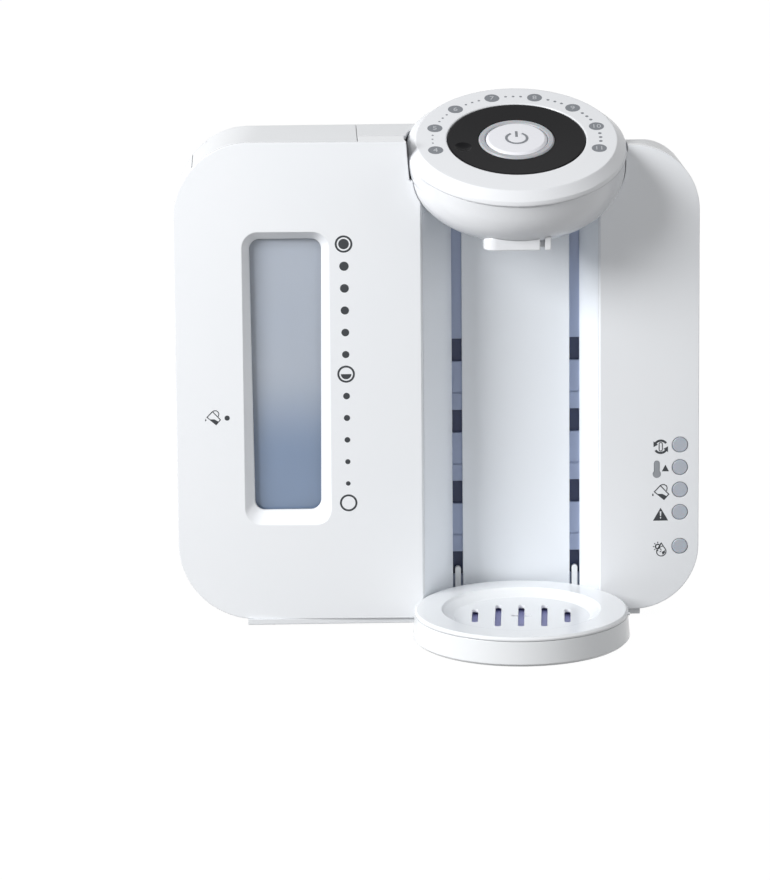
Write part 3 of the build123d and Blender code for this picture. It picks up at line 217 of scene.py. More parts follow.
@dataclass(frozen=True)
class MouldedPlastic(Finish):
    """Injection-moulded plastic: tiny waviness of the skin, and edges that catch the light.

    Attributes:
        roughness: Roughness of the polished or textured mould face.
        spread: How much the roughness varies over the face.
        grain_mm: Spacing of the skin's texture.
        grain_depth_mm: Height of the skin's texture.
        edge_mm: Radius that mould edges are softened to.
        ior: Refractive index of the plastic.
        gloss: Strength of the mirror part; 0.5 is what the index gives.
        flow_mm: Width over which the melt's flow drifts the tint, about a hand's.
    """

    roughness: float = 0.22
    spread: float = 0.05
    grain_mm: float = 2.4
    grain_depth_mm: float = 0.006
    edge_mm: float = 0.8
    ior: float = 1.53
    gloss: float = 0.5
    flow_mm: float = 90.0

    def shader(self, tree: Tree, place: Socket) -> Node:
        """Add the plastic's nodes.

        Args:
            tree: Node tree of the material.
            place: Coordinates on the object.

        Returns:
            The shader node.
        """
        _, tint = self.drift(tree, place, self.flow_mm)
        grain = add_node(tree, "TexNoise", {"Scale": scale_for(self.grain_mm), "Detail": 2.0},
                         {"Vector": place}).outputs["Fac"]
        polish = add_node(tree, "MapRange", {"To Min": self.roughness - self.spread / 2,
                                             "To Max": self.roughness + self.spread / 2},
                          {"Value": grain})
        edge = add_node(tree, "Bevel", {"samples": 6, "Radius": self.edge_mm * MM})
        skin = add_node(tree, "Bump", {"Strength": 0.6, "Distance": self.grain_depth_mm * MM},
                        {"Height": grain, "Normal": edge.outputs["Normal"]})
        return add_node(tree, "BsdfPrincipled",
                        {"IOR": self.ior, "Specular IOR Level": self.gloss},
                        {"Base Color": tint, "Roughness": polish.outputs["Result"],
                         "Normal": skin.outputs["Normal"]})


@dataclass(frozen=True)
class ClearTankPlastic(Finish):
    """Styrene acrylonitrile, moulded clear with a blue tint: body colour over a see-through wall.

    Attributes:
        low: Deeper blue near the bottom, painted shade.
        low_z: From where to where that painted shade fades out, in mm up.
        roughness: Roughness of the polished mould face.
        ior: Refractive index of the plastic.
        clearness: Share of the light that passes into the tank.
        haze_mm: Spacing of the slow haze in the body.
        frost_mm: Spacing of the ripples in the wall.
        frost_depth_mm: Height of the ripples.
    """

    name: str = "clear_styrene_acrylonitrile"
    colour: str = "#cfd9e8"
    shade: str = "#d6deea"
    low: str = "#9db2d0"
    low_z: Point = (105.0, 165.0)
    roughness: float = 0.16
    ior: float = 1.57
    clearness: float = 0.4
    haze_mm: float = 60.0
    frost_mm: float = 6.0
    frost_depth_mm: float = 0.01

    def shader(self, tree: Tree, place: Socket) -> Node:
        """Add the clear plastic's nodes.

        Args:
            tree: Node tree of the material.
            place: Coordinates on the object.

        Returns:
            The shader node.
        """
        _, tint = self.drift(tree, place, self.haze_mm)
        # painted shade: the colour deepens towards the low blue near the bottom
        axes = add_node(tree, "SeparateXYZ", {}, {"Vector": place})
        shade_fade = add_node(tree, "MapRange",
                        {"interpolation_type": "SMOOTHSTEP", "From Min": self.low_z[0] * MM,
                         "From Max": self.low_z[1] * MM}, {"Value": axes.outputs["Z"]})
        body = add_node(tree, "Mix", {"data_type": "RGBA", 6: linear(self.low)},
                        {0: shade_fade.outputs["Result"], 7: tint})
        ripple = add_node(tree, "TexNoise", {"Scale": scale_for(self.frost_mm), "Detail": 1.0},
                          {"Vector": place})
        skin = add_node(tree, "Bump", {"Strength": 0.4, "Distance": self.frost_depth_mm * MM},
                        {"Height": ripple.outputs["Fac"]})
        return add_node(tree, "BsdfPrincipled",
                        {"IOR": self.ior, "Roughness": self.roughness,
                         "Transmission Weight": self.clearness},
                        {"Base Color": body.outputs[2], "Normal": skin.outputs["Normal"]})


@dataclass(frozen=True)
class PadPrint(Finish):
    """Pad-printed ink: a thin matt film with the faint speckle of the pad.

    Attributes:
        roughness: Roughness of the dried ink.
        ior: Refractive index of the ink.
        speckle_mm: Spacing of the speckle.
    """

    roughness: float = 0.5
    ior: float = 1.5
    speckle_mm: float = 0.5

    def shader(self, tree: Tree, place: Socket) -> Node:
        """Add the ink's nodes, and return the shader's."""
        _, tint = self.drift(tree, place, self.speckle_mm, 2.0)
        return add_node(tree, "BsdfPrincipled", {"Roughness": self.roughness, "IOR": self.ior},
                        {"Base Color": tint})


@dataclass(frozen=True)
class FrostedGuide(Finish):
    """Frosted polycarbonate light guide: light sinks in a little and the face stays satin.

    Attributes:
        roughness: Roughness of the frosted face.
        ior: Refractive index of the plastic.
        frost_mm: Spacing of the frosting.
        frost_depth_mm: Height of the frosting.
        edge_mm: Radius that mould edges are softened to.
        sink: Share of the light that scatters under the face.
        sink_mm: How far that light travels.
    """

    roughness: float = 0.32
    ior: float = 1.585
    frost_mm: float = 0.8
    frost_depth_mm: float = 0.004
    edge_mm: float = 0.3
    sink: float = 0.25
    sink_mm: float = 1.2

    def shader(self, tree: Tree, place: Socket) -> Node:
        """Add the guide's nodes.

        Args:
            tree: Node tree of the material.
            place: Coordinates on the object.

        Returns:
            The shader node.
        """
        frost, tint = self.drift(tree, place, self.frost_mm, 2.0)
        edge = add_node(tree, "Bevel", {"samples": 4, "Radius": self.edge_mm * MM})
        skin = add_node(tree, "Bump", {"Strength": 0.5, "Distance": self.frost_depth_mm * MM},
                        {"Height": frost, "Normal": edge.outputs["Normal"]})
        return add_node(tree, "BsdfPrincipled",
                        {"Roughness": self.roughness, "IOR": self.ior,
                         "Subsurface Weight": self.sink, "Subsurface Scale": self.sink_mm * MM},
                        {"Base Color": tint, "Normal": skin.outputs["Normal"]})


@dataclass(frozen=True)
class DrawnSteel(Finish):
    """Stainless steel drawn through a die: fine lines along the draw, soft metallic shine.

    Attributes:
        roughness: Roughness of the face on the whole.
        spread: How far the lines take it down and up.
        line_mm: Spacing of the lines, coarser than real ones so that they show.
        stretch: How much longer than wide a line is; the draw runs along Z.
    """

    colour: str = "#b4b6ba"
    shade: str = "#9a9ca0"
    roughness: float = 0.3
    spread: Point = (-0.08, 0.1)
    line_mm: float = 0.4
    stretch: float = 20.0

    def shader(self, tree: Tree, place: Socket) -> Node:
        """Add the steel's nodes.

        Args:
            tree: Node tree of the material.
            place: Coordinates on the object.

        Returns:
            The shader node.
        """
        along = add_node(tree, "Mapping", {"Scale": (1.0, 1.0, 1 / self.stretch)},
                         {"Vector": place})
        lines, tint = self.drift(tree, along.outputs["Vector"], self.line_mm, 3.0)
        low, high = (self.roughness + shift for shift in self.spread)
        polish = add_node(tree, "MapRange", {"To Min": low, "To Max": high},
                          {"Value": lines})
        return add_node(tree, "BsdfPrincipled", {"Metallic": 1.0},
                        {"Base Color": tint, "Roughness": polish.outputs["Result"]})


@dataclass(frozen=True)
class PackedGranules(Finish):
    """Packed filter granules: rounded grains that touch, pale resin among dark carbon.

    Attributes:
        grain_mm: Size of a grain.
        heap_mm: How far the grains stand out.
        roughness: Roughness of the dry grains.
    """

    name: str = "carbon_and_resin_granules"
    colour: str = "#3c3d40"
    shade: str = "#a9a292"
    grain_mm: float = 1.6
    heap_mm: float = 0.4
    roughness: float = 0.75

    def shader(self, tree: Tree, place: Socket) -> Node:
        """Add the granules' nodes.

        Args:
            tree: Node tree of the material.
            place: Coordinates on the object.

        Returns:
            The shader node.
        """
        grains = add_node(tree, "TexVoronoi", {"Scale": scale_for(self.grain_mm)},
                          {"Vector": place})
        tint = add_node(tree, "Mix", {"data_type": "RGBA", 6: linear(self.colour),
                                      7: linear(self.shade)}, {0: grains.outputs["Color"]})
        heap = add_node(tree, "Bump", {"Strength": 0.9, "Distance": self.heap_mm * MM,
                                       "invert": True}, {"Height": grains.outputs["Distance"]})
        return add_node(tree, "BsdfPrincipled", {"Roughness": self.roughness},
                        {"Base Color": tint.outputs[2], "Normal": heap.outputs["Normal"]})


@dataclass(frozen=True)
class SolderMask(Finish):
    """Circuit board under green solder mask: thin copper tracks show as lighter lines.

    Attributes:
        track: Colour of the tracks under the mask.
        track_mm: Distance between the tracks.
        track_share: Width of a track, as a share of the pattern's unit.
        roughness: Roughness of the mask.
    """

    name: str = "green_solder_mask_board"
    colour: str = "#0f4a2c"
    shade: str = "#12532f"
    track: str = "#2f7d4d"
    track_mm: float = 3.0
    track_share: float = 0.04
    roughness: float = 0.35

    def shader(self, tree: Tree, place: Socket) -> Node:
        """Add the board's nodes.

        Args:
            tree: Node tree of the material.
            place: Coordinates on the object.

        Returns:
            The shader node.
        """
        # a brick row is a quarter of the pattern's unit high
        tracks = add_node(tree, "TexBrick",
                          {"Scale": scale_for(self.track_mm) / 4,
                           "Mortar Size": self.track_share,
                           "Color1": linear(self.colour), "Color2": linear(self.shade),
                           "Mortar": linear(self.track)}, {"Vector": place})
        return add_node(tree, "BsdfPrincipled", {"Roughness": self.roughness},
                        {"Base Color": tracks.outputs["Color"]})


@dataclass(frozen=True)
class FinishRange:
    """Every finish of the machine."""

    # ABS moulded in a polished tool: bright, faintly blue white with a clear highlight
    panel: Finish = MouldedPlastic("polished_moulded_abs", "#f3f5f8", "#eff2f6", 0.2)
    # ABS from a fine spark-eroded tool: the same white, highlights spread wide
    shell: Finish = MouldedPlastic("spark_eroded_moulded_abs", "#eceef1", "#e8ebee", 0.34, 0.08,
                                   0.9, 0.01)
    # the bay's lining: a cooler polished white
    liner: Finish = MouldedPlastic("polished_cool_white_abs", "#f1f5fa", "#edf2f8", 0.24)
    # rail strips behind the lining: blue-grey so that the steps read as dark windows
    rail: Finish = MouldedPlastic("moulded_blue_grey_abs", "#b2bed8", "#aab6d1", 0.3)
    # blanking strips behind the step windows: their navy is painted shade, so that they read as
    # dark holes in the rails
    strip: Finish = MouldedPlastic("navy_abs_painted_hole_shade", "#2f3a5c", "#2a3554", 0.45)
    # the stand's polished ABS: a neutral white that keeps a sharp rim
    stand: Finish = MouldedPlastic("polished_stand_abs", "#f1f3f5", "#eceff2", 0.2)
    # the dish under the drip slots: lavender polypropylene whose colour is painted shade of the
    # cup seen through the slots, so that they read as openings
    dish: Finish = MouldedPlastic("lavender_painted_slot_shade", "#a6a8e0", "#9fa1da", 0.4, ior=1.49)
    # the head's ABS: a shade greyer, its edges rounded wider so that they glow softly
    head: Finish = MouldedPlastic("polished_head_abs", "#edeff2", "#e9ebef", 0.2, edge_mm=1.2)
    # the selector ring: black ABS polished less than the white parts, so it stays deep
    dial: Finish = MouldedPlastic("satin_black_abs", "#19191b", "#151517", 0.34, 0.06, 1.2, 0.006,
                                  gloss=0.06)
    # the start button: white ABS with a trace of violet against the grey ring
    button: Finish = MouldedPlastic("polished_button_abs", "#eeeff4", "#ebecf2", 0.24)
    # polycarbonate guides: grey around the button, blue-grey in the lamps, never mirror-like
    light_ring: Finish = FrostedGuide("frosted_grey_polycarbonate", "#b3b6bb", "#abaeb3")
    lamp: Finish = FrostedGuide("frosted_blue_grey_polycarbonate", "#b9bfc8", "#b1b7c1")
    # the tank's clear plastic: pale blue body, with painted shade that deepens the blue towards
    # the bottom
    tank: Finish = ClearTankPlastic()
    # polypropylene: slightly waxy, softer highlight than ABS
    filter_case: Finish = MouldedPlastic("moulded_polypropylene", "#e6e9ee", "#e0e4ea", 0.36,
                                         ior=1.49)
    # foamed polypropylene: matt, with the small pits of the foam
    float_body: Finish = MouldedPlastic("foamed_polypropylene", "#dfe2e6", "#d6dadf", 0.55, 0.1,
                                        1.0, 0.03, ior=1.49)
    # activated carbon and resin beads: a salt and pepper of grains
    granules: Finish = PackedGranules()
    # nitrile and silicone rubber: no clear highlight, one near black and one pale
    rubber: Finish = MouldedPlastic("moulded_nitrile_rubber", "#3a3b3d", "#333436", 0.7, 0.08,
                                    0.6, 0.02, 0.4, 1.52)
    seal: Finish = MouldedPlastic("moulded_silicone_rubber", "#d7dadd", "#cdd1d5", 0.45, 0.08,
                                  1.0, 0.01, 0.3, 1.43)
    # nylon: glass fibre makes the grey one dull, the switch's black one has a low shine
    nylon: Finish = MouldedPlastic("glass_filled_nylon", "#5b5e63", "#505358", 0.55, 0.1, 0.7,
                                   0.03)
    switch: Finish = MouldedPlastic("black_moulded_nylon", "#1d1d1f", "#18181a", 0.32)
    # steel: fairly bright on the boiler and screws, darker in the spring's drawn wire
    steel: Finish = DrawnSteel("drawn_stainless_steel")
    spring: Finish = DrawnSteel("spring_wire", "#9fa1a6", roughness=0.26)
    # epoxy board: satin green with tracks
    board: Finish = SolderMask()
    # pad-printed inks: matt films, from charcoal to the pale grey of the numerals
    dark_ink: Finish = PadPrint("charcoal_pad_print", "#2a2e32", "#31353a")
    grey_ink: Finish = PadPrint("mid_grey_pad_print", "#777b81", "#80848a")
    soft_ink: Finish = PadPrint("soft_grey_pad_print", "#93979d", "#9a9ea4")
    pale_ink: Finish = PadPrint("pale_grey_pad_print", "#c3c6ca", "#bbbec3")


class Wardrobe:
    """Builds each finish once and puts it on nodes and pieces."""

    def __init__(self, finishes: FinishRange) -> None:
        """Keep the finishes; materials are made on first use."""
        self.finishes = finishes
        self._made: dict[str, bpy.types.Material] = {}

    def dress(self, obj: Piece, finish: Finish) -> None:
        """Give an object a single finish.

        Args:
            obj: CAD node or new piece.
            finish: Finish for all of it.
        """
        if finish.name not in self._made:
            self._made[finish.name] = finish.build()
        obj.data.materials.clear()
        obj.data.materials.append(self._made[finish.name])
        LOG.info("%s wears %s", obj.name, finish.name)

    def dress_nodes(self, frame: Frame, *outfits: tuple[Finish, Sequence[str]]) -> None:
        """Give CAD nodes their finishes.

        Args:
            frame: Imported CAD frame.
            outfits: Each finish with the names of the nodes that wear it.
        """
        for finish, names in outfits:
            for name in names:
                self.dress(frame["nodes"][name], finish)

    def fit(self, piece: Piece, finish: Finish, body: Body) -> None:
        """Dress a new piece and mount it on its body."""
        self.dress(piece, finish)
        mount(piece, body)


def mount(obj: Piece, body: Body) -> None:
    """Let a piece ride on a body."""
    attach(obj, body.value)


def joint(frame: Frame, name: str) -> dict[str, Any]:
    """Find a joint of the frame by its name."""
    return next(entry for entry in frame["joints"] if entry["name"] == name)


# ---------------------------------------------------------------- surfaces that carry print
class Surface(Protocol):
    """A face of the machine that flat artwork lies on."""

    def lay(self, across: float, up: float, lift: float) -> Vector:
        """Place a point of the artwork, in millimetres, in the row frame."""


@dataclass(frozen=True)
class BowedFace:
    """Front panel that falls away evenly from the bottle bay.

    Attributes:
        start_x: Where the bow starts, beside the bay, in mm.
        face_y: Depth of the panel there, in mm of the row frame.
        bow_r: Radius of the bow in mm.
    """

    start_x: float
    face_y: float
    bow_r: float = 1900.0

    def lay(self, across: float, up: float, lift: float) -> Vector:
        """Place a point of the artwork on the panel.

        Args:
            across: Place along +X in mm.
            up: Height in mm.
            lift: Height above the surface in mm.

        Returns:
            The point in the row frame, in metres.
        """
        away = across - self.start_x
        depth = self.face_y + self.bow_r - math.sqrt(self.bow_r**2 - away**2)
        return Vector((across, depth - lift, up)) * MM


@dataclass(frozen=True)
class TiltedFace:
    """Flat round face of the head, which leans towards the user.

    Attributes:
        origin: Middle of the face in the row frame, in metres.
        normal: Unit vector out of the face.
        proud_mm: How far above the face's plane this surface lies.
    """

    origin: Vector
    normal: Vector
    proud_mm: float = 0.0

    def _axes(self) -> tuple[Vector, Vector, Vector]:
        """Unit vectors across the face, towards its back and out of it."""
        right = Vector((1, 0, 0))
        return right, self.normal.cross(right), self.normal

    def lay(self, across: float, up: float, lift: float) -> Vector:
        """Place a point of the artwork on the face.

        Args:
            across: Place along +X in mm.
            up: Place towards the back in mm.
            lift: Height above the surface in mm.

        Returns:
            The point in the row frame, in metres.
        """
        right, back, out = self._axes()
        offset = right * across + back * up + out * (lift + self.proud_mm)
        return self.origin + offset * MM

    def matrix(self, across: float, up: float, lift: float) -> Matrix:
        """Place and turn a flat object so that it lies on the face; sizes as for lay."""
        turn = Matrix(self._axes()).transposed().to_4x4()
        return Matrix.Translation(self.lay(across, up, lift)) @ turn


# ---------------------------------------------------------------- meshes
def arc_points(x: float, y: float, radius: float, start: float, sweep: float,
               sides: int) -> list[Point]:
    """Points along an arc, with both ends, counted from +x in degrees."""
    angles = [math.radians(start + sweep * i / sides) for i in range(sides + 1)]
    return [(x + radius * math.cos(a), y + radius * math.sin(a)) for a in angles]


def unit(start: Point, end: Point) -> Point:
    """Direction from one point to another."""
    length = math.hypot(end[0] - start[0], end[1] - start[1])
    return (end[0] - start[0]) / length, (end[1] - start[1]) / length


def wall_between(mesh: Mesh, first: Sequence[Any], second: Sequence[Any], closed: bool) -> None:
    """Join two rows of vertices with quads.

    Args:
        mesh: Mesh that gets the faces.
        first: One row.
        second: The other row, as long.
        closed: Whether the rows join up with their start.
    """
    count = len(first)
    for i in range(count if closed else count - 1):
        j = (i + 1) % count
        mesh.faces.new((first[i], first[j], second[j], second[i]))


def bar(mesh: Mesh, rows: Sequence[Any], closed: bool = False) -> None:
    """Skin a bar whose edges run along rows of vertices.

    Args:
        mesh: Mesh that gets the faces.
        rows: Its edges in order around the bar.
        closed: Whether the bar joins up with its start.
    """
    for first, second in zip(rows, [*rows[1:], rows[0]]):
        wall_between(mesh, first, second, closed)
    if not closed:
        mesh.faces.new([row[0] for row in rows])
        mesh.faces.new([row[-1] for row in rows][::-1])


def piece_from(mesh: Mesh, name: str, solid: bool = True) -> Piece:
    """Turn a bmesh into an object of the scene.

    Args:
        mesh: Finished mesh; it is freed.
        name: Name of the piece.
        solid: Whether it closes round a volume; its faces are then turned outwards.

    Returns:
        The new object.
    """
    if solid:
        bmesh.ops.recalc_face_normals(mesh, faces=mesh.faces)
    data = bpy.data.meshes.new(name)
    mesh.to_mesh(data)
    mesh.free()
    return placed(data, name)


def placed(data: bpy.types.ID, name: str) -> Piece:
    """Put a mesh, lamp or camera into the scene.

    Args:
        data: What the object holds.
        name: Name of the object.

    Returns:
        The new object.
    """
    obj = bpy.data.objects.new(name, data)
    bpy.context.scene.collection.objects.link(obj)
    return obj


def turned(section: Sequence[Point], middle: Point, name: str, sides: int = 96) -> Piece:
    """Turn a section about an upright axis.

    Args:
        section: Radii and heights in mm, from the axis round to the axis.
        middle: Where the axis stands, in mm.
        name: Name of the piece.
        sides: Straight pieces around.

    Returns:
        The new piece.
    """
    mesh = bmesh.new()
    poles = [mesh.verts.new(Vector((*middle, section[i][1])) * MM) for i in (0, -1)]
    rings = [[mesh.verts.new(Vector((x, y, z)) * MM)
              for x, y in arc_points(*middle, radius, 0, 360, sides)[:-1]]
             for radius, z in section[1:-1]]
    for first, second in zip(rings, rings[1:]):
        wall_between(mesh, first, second, True)
    for pole, ring in zip(poles, (rings[0], rings[-1])):
        for i, vert in enumerate(ring):
            mesh.faces.new((pole, vert, ring[(i + 1) % sides]))
    return piece_from(mesh, name)


def numeral(text: str, size_mm: float, place: Matrix, name: str,
            half_mm: float = 0.02) -> Piece:
    """Make a printed number as a thin solid.

    Args:
        text: Digits.
        size_mm: Height of the type.
        place: Where it lies.
        name: Name of the piece.
        half_mm: Half the thickness of its film.

    Returns:
        The new piece, as a mesh.
    """
    curve = bpy.data.curves.new(name, "FONT")
    curve.body = text
    curve.size = size_mm * MM
    curve.extrude = half_mm * MM
    curve.align_x = "CENTER"
    curve.align_y = "CENTER"
    curve.resolution_u = 3
    source = bpy.data.objects.new(name + "_type", curve)
    data = bpy.data.meshes.new_from_object(source)
    data.transform(place)
    bpy.data.objects.remove(source)
    return placed(data, name)


# ---------------------------------------------------------------- flat artwork
class Artwork:
    """Printed shapes in millimetres, each a closed film of ink."""

    def __init__(self) -> None:
        """Start with no shape."""
        self._patches: list[list[Point]] = []
        self._strips: list[tuple[list[Point], list[Point], bool]] = []

    def patch(self, points: Sequence[Point]) -> Artwork:
        """Add a filled outline."""
        self._patches.append(list(points))
        return self

    def disc(self, x: float, y: float, radius: float, sides: int = 28) -> Artwork:
        """Add a filled circle."""
        return self.patch(arc_points(x, y, radius, 0, 360, sides)[:-1])

    def arc(self, x: float, y: float, radius: float, width: float, start: float = 0,
            sweep: float = 360, sides: int = 48) -> Artwork:
        """Add a line along an arc, or a ring when it sweeps all the way round.

        Args:
            x: Middle of the arc.
            y: Middle of the arc.
            radius: Radius of the line's own middle.
            width: Width of the line.
            start: First angle in degrees, from +x.
            sweep: Angle that it covers.
            sides: Straight pieces in the arc.

        Returns:
            The artwork.
        """
        outer = arc_points(x, y, radius + width / 2, start, sweep, sides)
        inner = arc_points(x, y, radius - width / 2, start, sweep, sides)
        closed = sweep >= 360
        if closed:
            outer, inner = outer[:-1], inner[:-1]
        self._strips.append((outer, inner, closed))
        return self

    def line(self, points: Sequence[Point], width: float, closed: bool = False) -> Artwork:
        """Add a line of even width with mitred corners.

        Args:
            points: Corners of the line's middle.
            width: Width of the line.
            closed: Whether it joins up with its start.

        Returns:
            The artwork.
        """
        sharpest = 0.4  # share of the width under which a mitre isn't drawn out further
        left, right = [], []
        count = len(points)
        for i, (x, y) in enumerate(points):
            before = points[i - 1] if i or closed else None
            after = points[(i + 1) % count] if i < count - 1 or closed else None
            steps = [unit(before, (x, y))] if before else []
            steps += [unit((x, y), after)] if after else []
            along = Vector((sum(s[0] for s in steps), sum(s[1] for s in steps))).normalized()
            normal = Vector((-along.y, along.x))
            bend = max(abs(normal.dot(Vector((-steps[0][1], steps[0][0])))), sharpest)
            reach = width / 2 / bend
            left.append((x + normal.x * reach, y + normal.y * reach))
            right.append((x - normal.x * reach, y - normal.y * reach))
        self._strips.append((left, right, closed))
        return self

    def moved(self, dx: float, dy: float, scale: float = 1.0) -> Artwork:
        """Copy the artwork to another place.

        Args:
            dx: Shift across in mm.
            dy: Shift up in mm.
            scale: Size of the copy.

        Returns:
            The copy.
        """
        def place(side: Sequence[Point]) -> list[Point]:
            """Scale and shift an outline."""
            return [(x * scale + dx, y * scale + dy) for x, y in side]

        copy = Artwork()
        copy._patches = [place(patch) for patch in self._patches]
        copy._strips = [(place(a), place(b), closed) for a, b, closed in self._strips]
        return copy

    def join(self, other: Artwork) -> None:
        """Take in the shapes of another artwork."""
        self._patches += other._patches
        self._strips += other._strips

    def build(self, name: str, surface: Surface, low: float = 0.01, high: float = 0.05) -> Piece:
        """Make the film of ink on a surface.

        Args:
            name: Name of the piece.
            surface: Face that it lies on.
            low: Height of the film's underside above the face, in mm.
            high: Height of its top, in mm.

        Returns:
            The new piece.
        """
        mesh = bmesh.new()
        for outline in self._patches:
            top, under = ([mesh.verts.new(surface.lay(x, y, lift)) for x, y in outline]
                          for lift in (high, low))
            mesh.faces.new(top)
            mesh.faces.new(under[::-1])
            wall_between(mesh, top, under, True)
        for side_a, side_b, closed in self._strips:
            bar(mesh, [[mesh.verts.new(surface.lay(x, y, lift)) for x, y in side]
                       for side, lift in ((side_a, high), (side_b, high), (side_b, low),
                                          (side_a, low))], closed)
        return piece_from(mesh, name)


# ---------------------------------------------------------------- pictograms
class Pictogram(Enum):
    """Pictograms beside the lamps."""

    CHANGE_FILTER = "change_filter"
    TEMPERATURE = "temperature"
    FILL_TANK = "fill_tank"
    WARNING = "warning"
    DESCALE = "descale"


def tipping_jug() -> Artwork:
    """Jug tipped to the left with water in its corner and a drop at its lip, 10 mm wide.

    Returns:
        The artwork, about its own middle.
    """
    art = Artwork()
    art.line([(-3.9, 0.5), (-0.2, 4.4), (5.0, -1.2), (2.1, -4.5)], 0.62, closed=True)
    art.line([(-0.2, 4.4), (0.9, 5.0), (2.3, 5.0), (3.5, 4.2), (4.0, 3.0), (3.7, 1.0)], 0.6)
    art.patch([(-2.2, -0.9), (1.0, -0.9), (3.9, -2.5), (2.1, -4.3)])
    art.patch([(-4.8, -0.3), (-4.3, -1.6), (-4.5, -2.1), (-5.1, -2.1), (-5.3, -1.6)])
    return art


def filter_turn() -> Artwork:
    """Filter capsule inside a ring of two arrows.

    Returns:
        The artwork, about its own middle.
    """
    art = Artwork()
    ring_r, ring_width, start_gap, sweep = 3.9, 1.4, 14, 112
    head_long, head_half, head_back = 2.9, 1.75, 4
    tip_in = 0.5
    for start in (20, 200):
        art.arc(0, 0, ring_r, ring_width, start + start_gap, sweep, 18)
        root = math.radians(start + start_gap + sweep - head_back)
        along = (-math.sin(root), math.cos(root))
        across = (math.cos(root), math.sin(root))
        art.patch([tuple(ring_r * a + far * b + out * a for a, b in zip(across, along))
                   for far, out in ((head_long, -tip_in), (0, -head_half), (0, head_half))])
    capsule = arc_points(0, 1.7, 1.0, 0, 180, 8) + arc_points(0, -1.7, 1.0, 180, 180, 8)
    return art.line(capsule, 0.55, closed=True)


def thermometer() -> Artwork:
    """Short wide thermometer.

    Returns:
        The artwork, about its own middle.
    """
    stem = arc_points(0, 3.6, 1.6, 0, 180, 10)
    bulb = arc_points(0, -3.1, 2.3, 133, 274, 18)
    return Artwork().patch(stem + bulb).line(stem + bulb, 0.5, closed=True)


def triangle(width: float, height: float) -> Artwork:
    """Upright solid triangle of a width and height, about its own middle."""
    half = width / 2
    return Artwork().patch([(-half, -height / 2), (half, -height / 2), (0, height / 2)])


def exclamation() -> Artwork:
    """Bar and dot, 4.6 mm tall."""
    art = Artwork().patch([(-0.5, 2.6), (0.5, 2.6), (0.25, -0.5), (-0.25, -0.5)])
    return art.disc(0, -1.5, 0.45, 12)


def sun_and_drop() -> Artwork:
    """Outlined water drop with a sun at its upper left.

    Returns:
        The artwork, about the drop's middle.
    """
    art = Artwork()
    drop = [(0.0, 5.3)] + arc_points(0, 0, 2.9, 28, -236, 26)
    art.line(drop, 0.6, closed=True)
    art.line([(0.1, 0.4), (-0.9, -0.3)], 0.5)
    art.patch([(0.3, -0.4), (2.3, 0.9), (2.2, -1.0), (0.9, -2.2)])
    sun_x, sun_y, ray_in, ray_out, rays = -2.2, 3.2, 2.1, 3.0, 8
    art.arc(sun_x, sun_y, 1.4, 0.8, sides=20)
    for i in range(rays):
        turn = math.radians(360 / rays * i)
        across, up = math.cos(turn), math.sin(turn)
        art.line([(sun_x + r * across, sun_y + r * up) for r in (ray_in, ray_out)], 0.6)
    return art


# ---------------------------------------------------------------- sub-assemblies
@dataclass
class LevelScale:
    """Water-level marks printed beside the window, with the fill mark left of it.

    Attributes:
        x: Middle of the full mark in mm.
        lean: How far the column has moved towards the bay at the empty mark.
        top_z: Height of the full mark.
        bottom_z: Height of the empty mark.
        dots_between: Dots from the full mark to the half mark, and again to the empty mark.
        dot_pitch: Distance from a ringed mark to the first dot under it and between dots.
        ring_r: Radius of the ringed marks.
        ring_width: Width of their rings.
        fill_share: Radius of the filling inside a ringed mark, as a share of the ring's.
        dot_r_top: Radius of the topmost dot.
        dot_r_bottom: Radius of the lowest dot.
        jug_x: Middle of the tipping jug left of the window.
        jug_z: Its height, and its dot's.
        jug_scale: Its size against the one beside the lamps.
        jug_dot_x: Middle of the dot beside it.
        jug_dot_r: Radius of that dot.
    """

    x: float = -57.0
    lean: float = 1.5
    top_z: float = 240.3
    bottom_z: float = 78.2
    dots_between: int = 5
    dot_pitch: float = 13.76
    ring_r: float = 4.75
    ring_width: float = 1.2
    fill_share: float = 0.68
    dot_r_top: float = 2.85
    dot_r_bottom: float = 1.42
    jug_x: float = -137.8
    jug_z: float = 131.9
    jug_scale: float = 0.92
    jug_dot_x: float = -129.1
    jug_dot_r: float = 1.6

    def _column(self, z: float) -> float:
        """Middle of the column at a height."""
        return self.x + self.lean * (self.top_z - z) / (self.top_z - self.bottom_z)

    def draw(self) -> Artwork:
        """Draw every mark.

        Returns:
            The marks, in mm across and up.
        """
        art = Artwork()
        half_z = (self.top_z + self.bottom_z) / 2
        for z in (self.top_z, half_z, self.bottom_z):
            art.arc(self._column(z), z, self.ring_r, self.ring_width)
        last = 2 * self.dots_between - 1
        for i in range(last + 1):
            group, place = divmod(i, self.dots_between)
            z = (half_z if group else self.top_z) - (place + 1) * self.dot_pitch
            radius = self.dot_r_top + i / last * (self.dot_r_bottom - self.dot_r_top)
            art.disc(self._column(z), z, radius)
        fill_r = self.ring_r * self.fill_share
        art.disc(self.x, self.top_z, fill_r)
        art.patch(arc_points(self._column(half_z), half_z, fill_r, 180, 180, 16))
        art.disc(self.jug_dot_x, self.jug_z, self.jug_dot_r)
        art.join(tipping_jug().moved(self.jug_x, self.jug_z, self.jug_scale))
        return art

    def build(self, face: BowedFace, wardrobe: Wardrobe) -> None:
        """Print the marks on the left panel."""
        marks = self.draw().build("level_scale_print", face)
        wardrobe.fit(marks, wardrobe.finishes.dark_ink, Body.HOUSING)


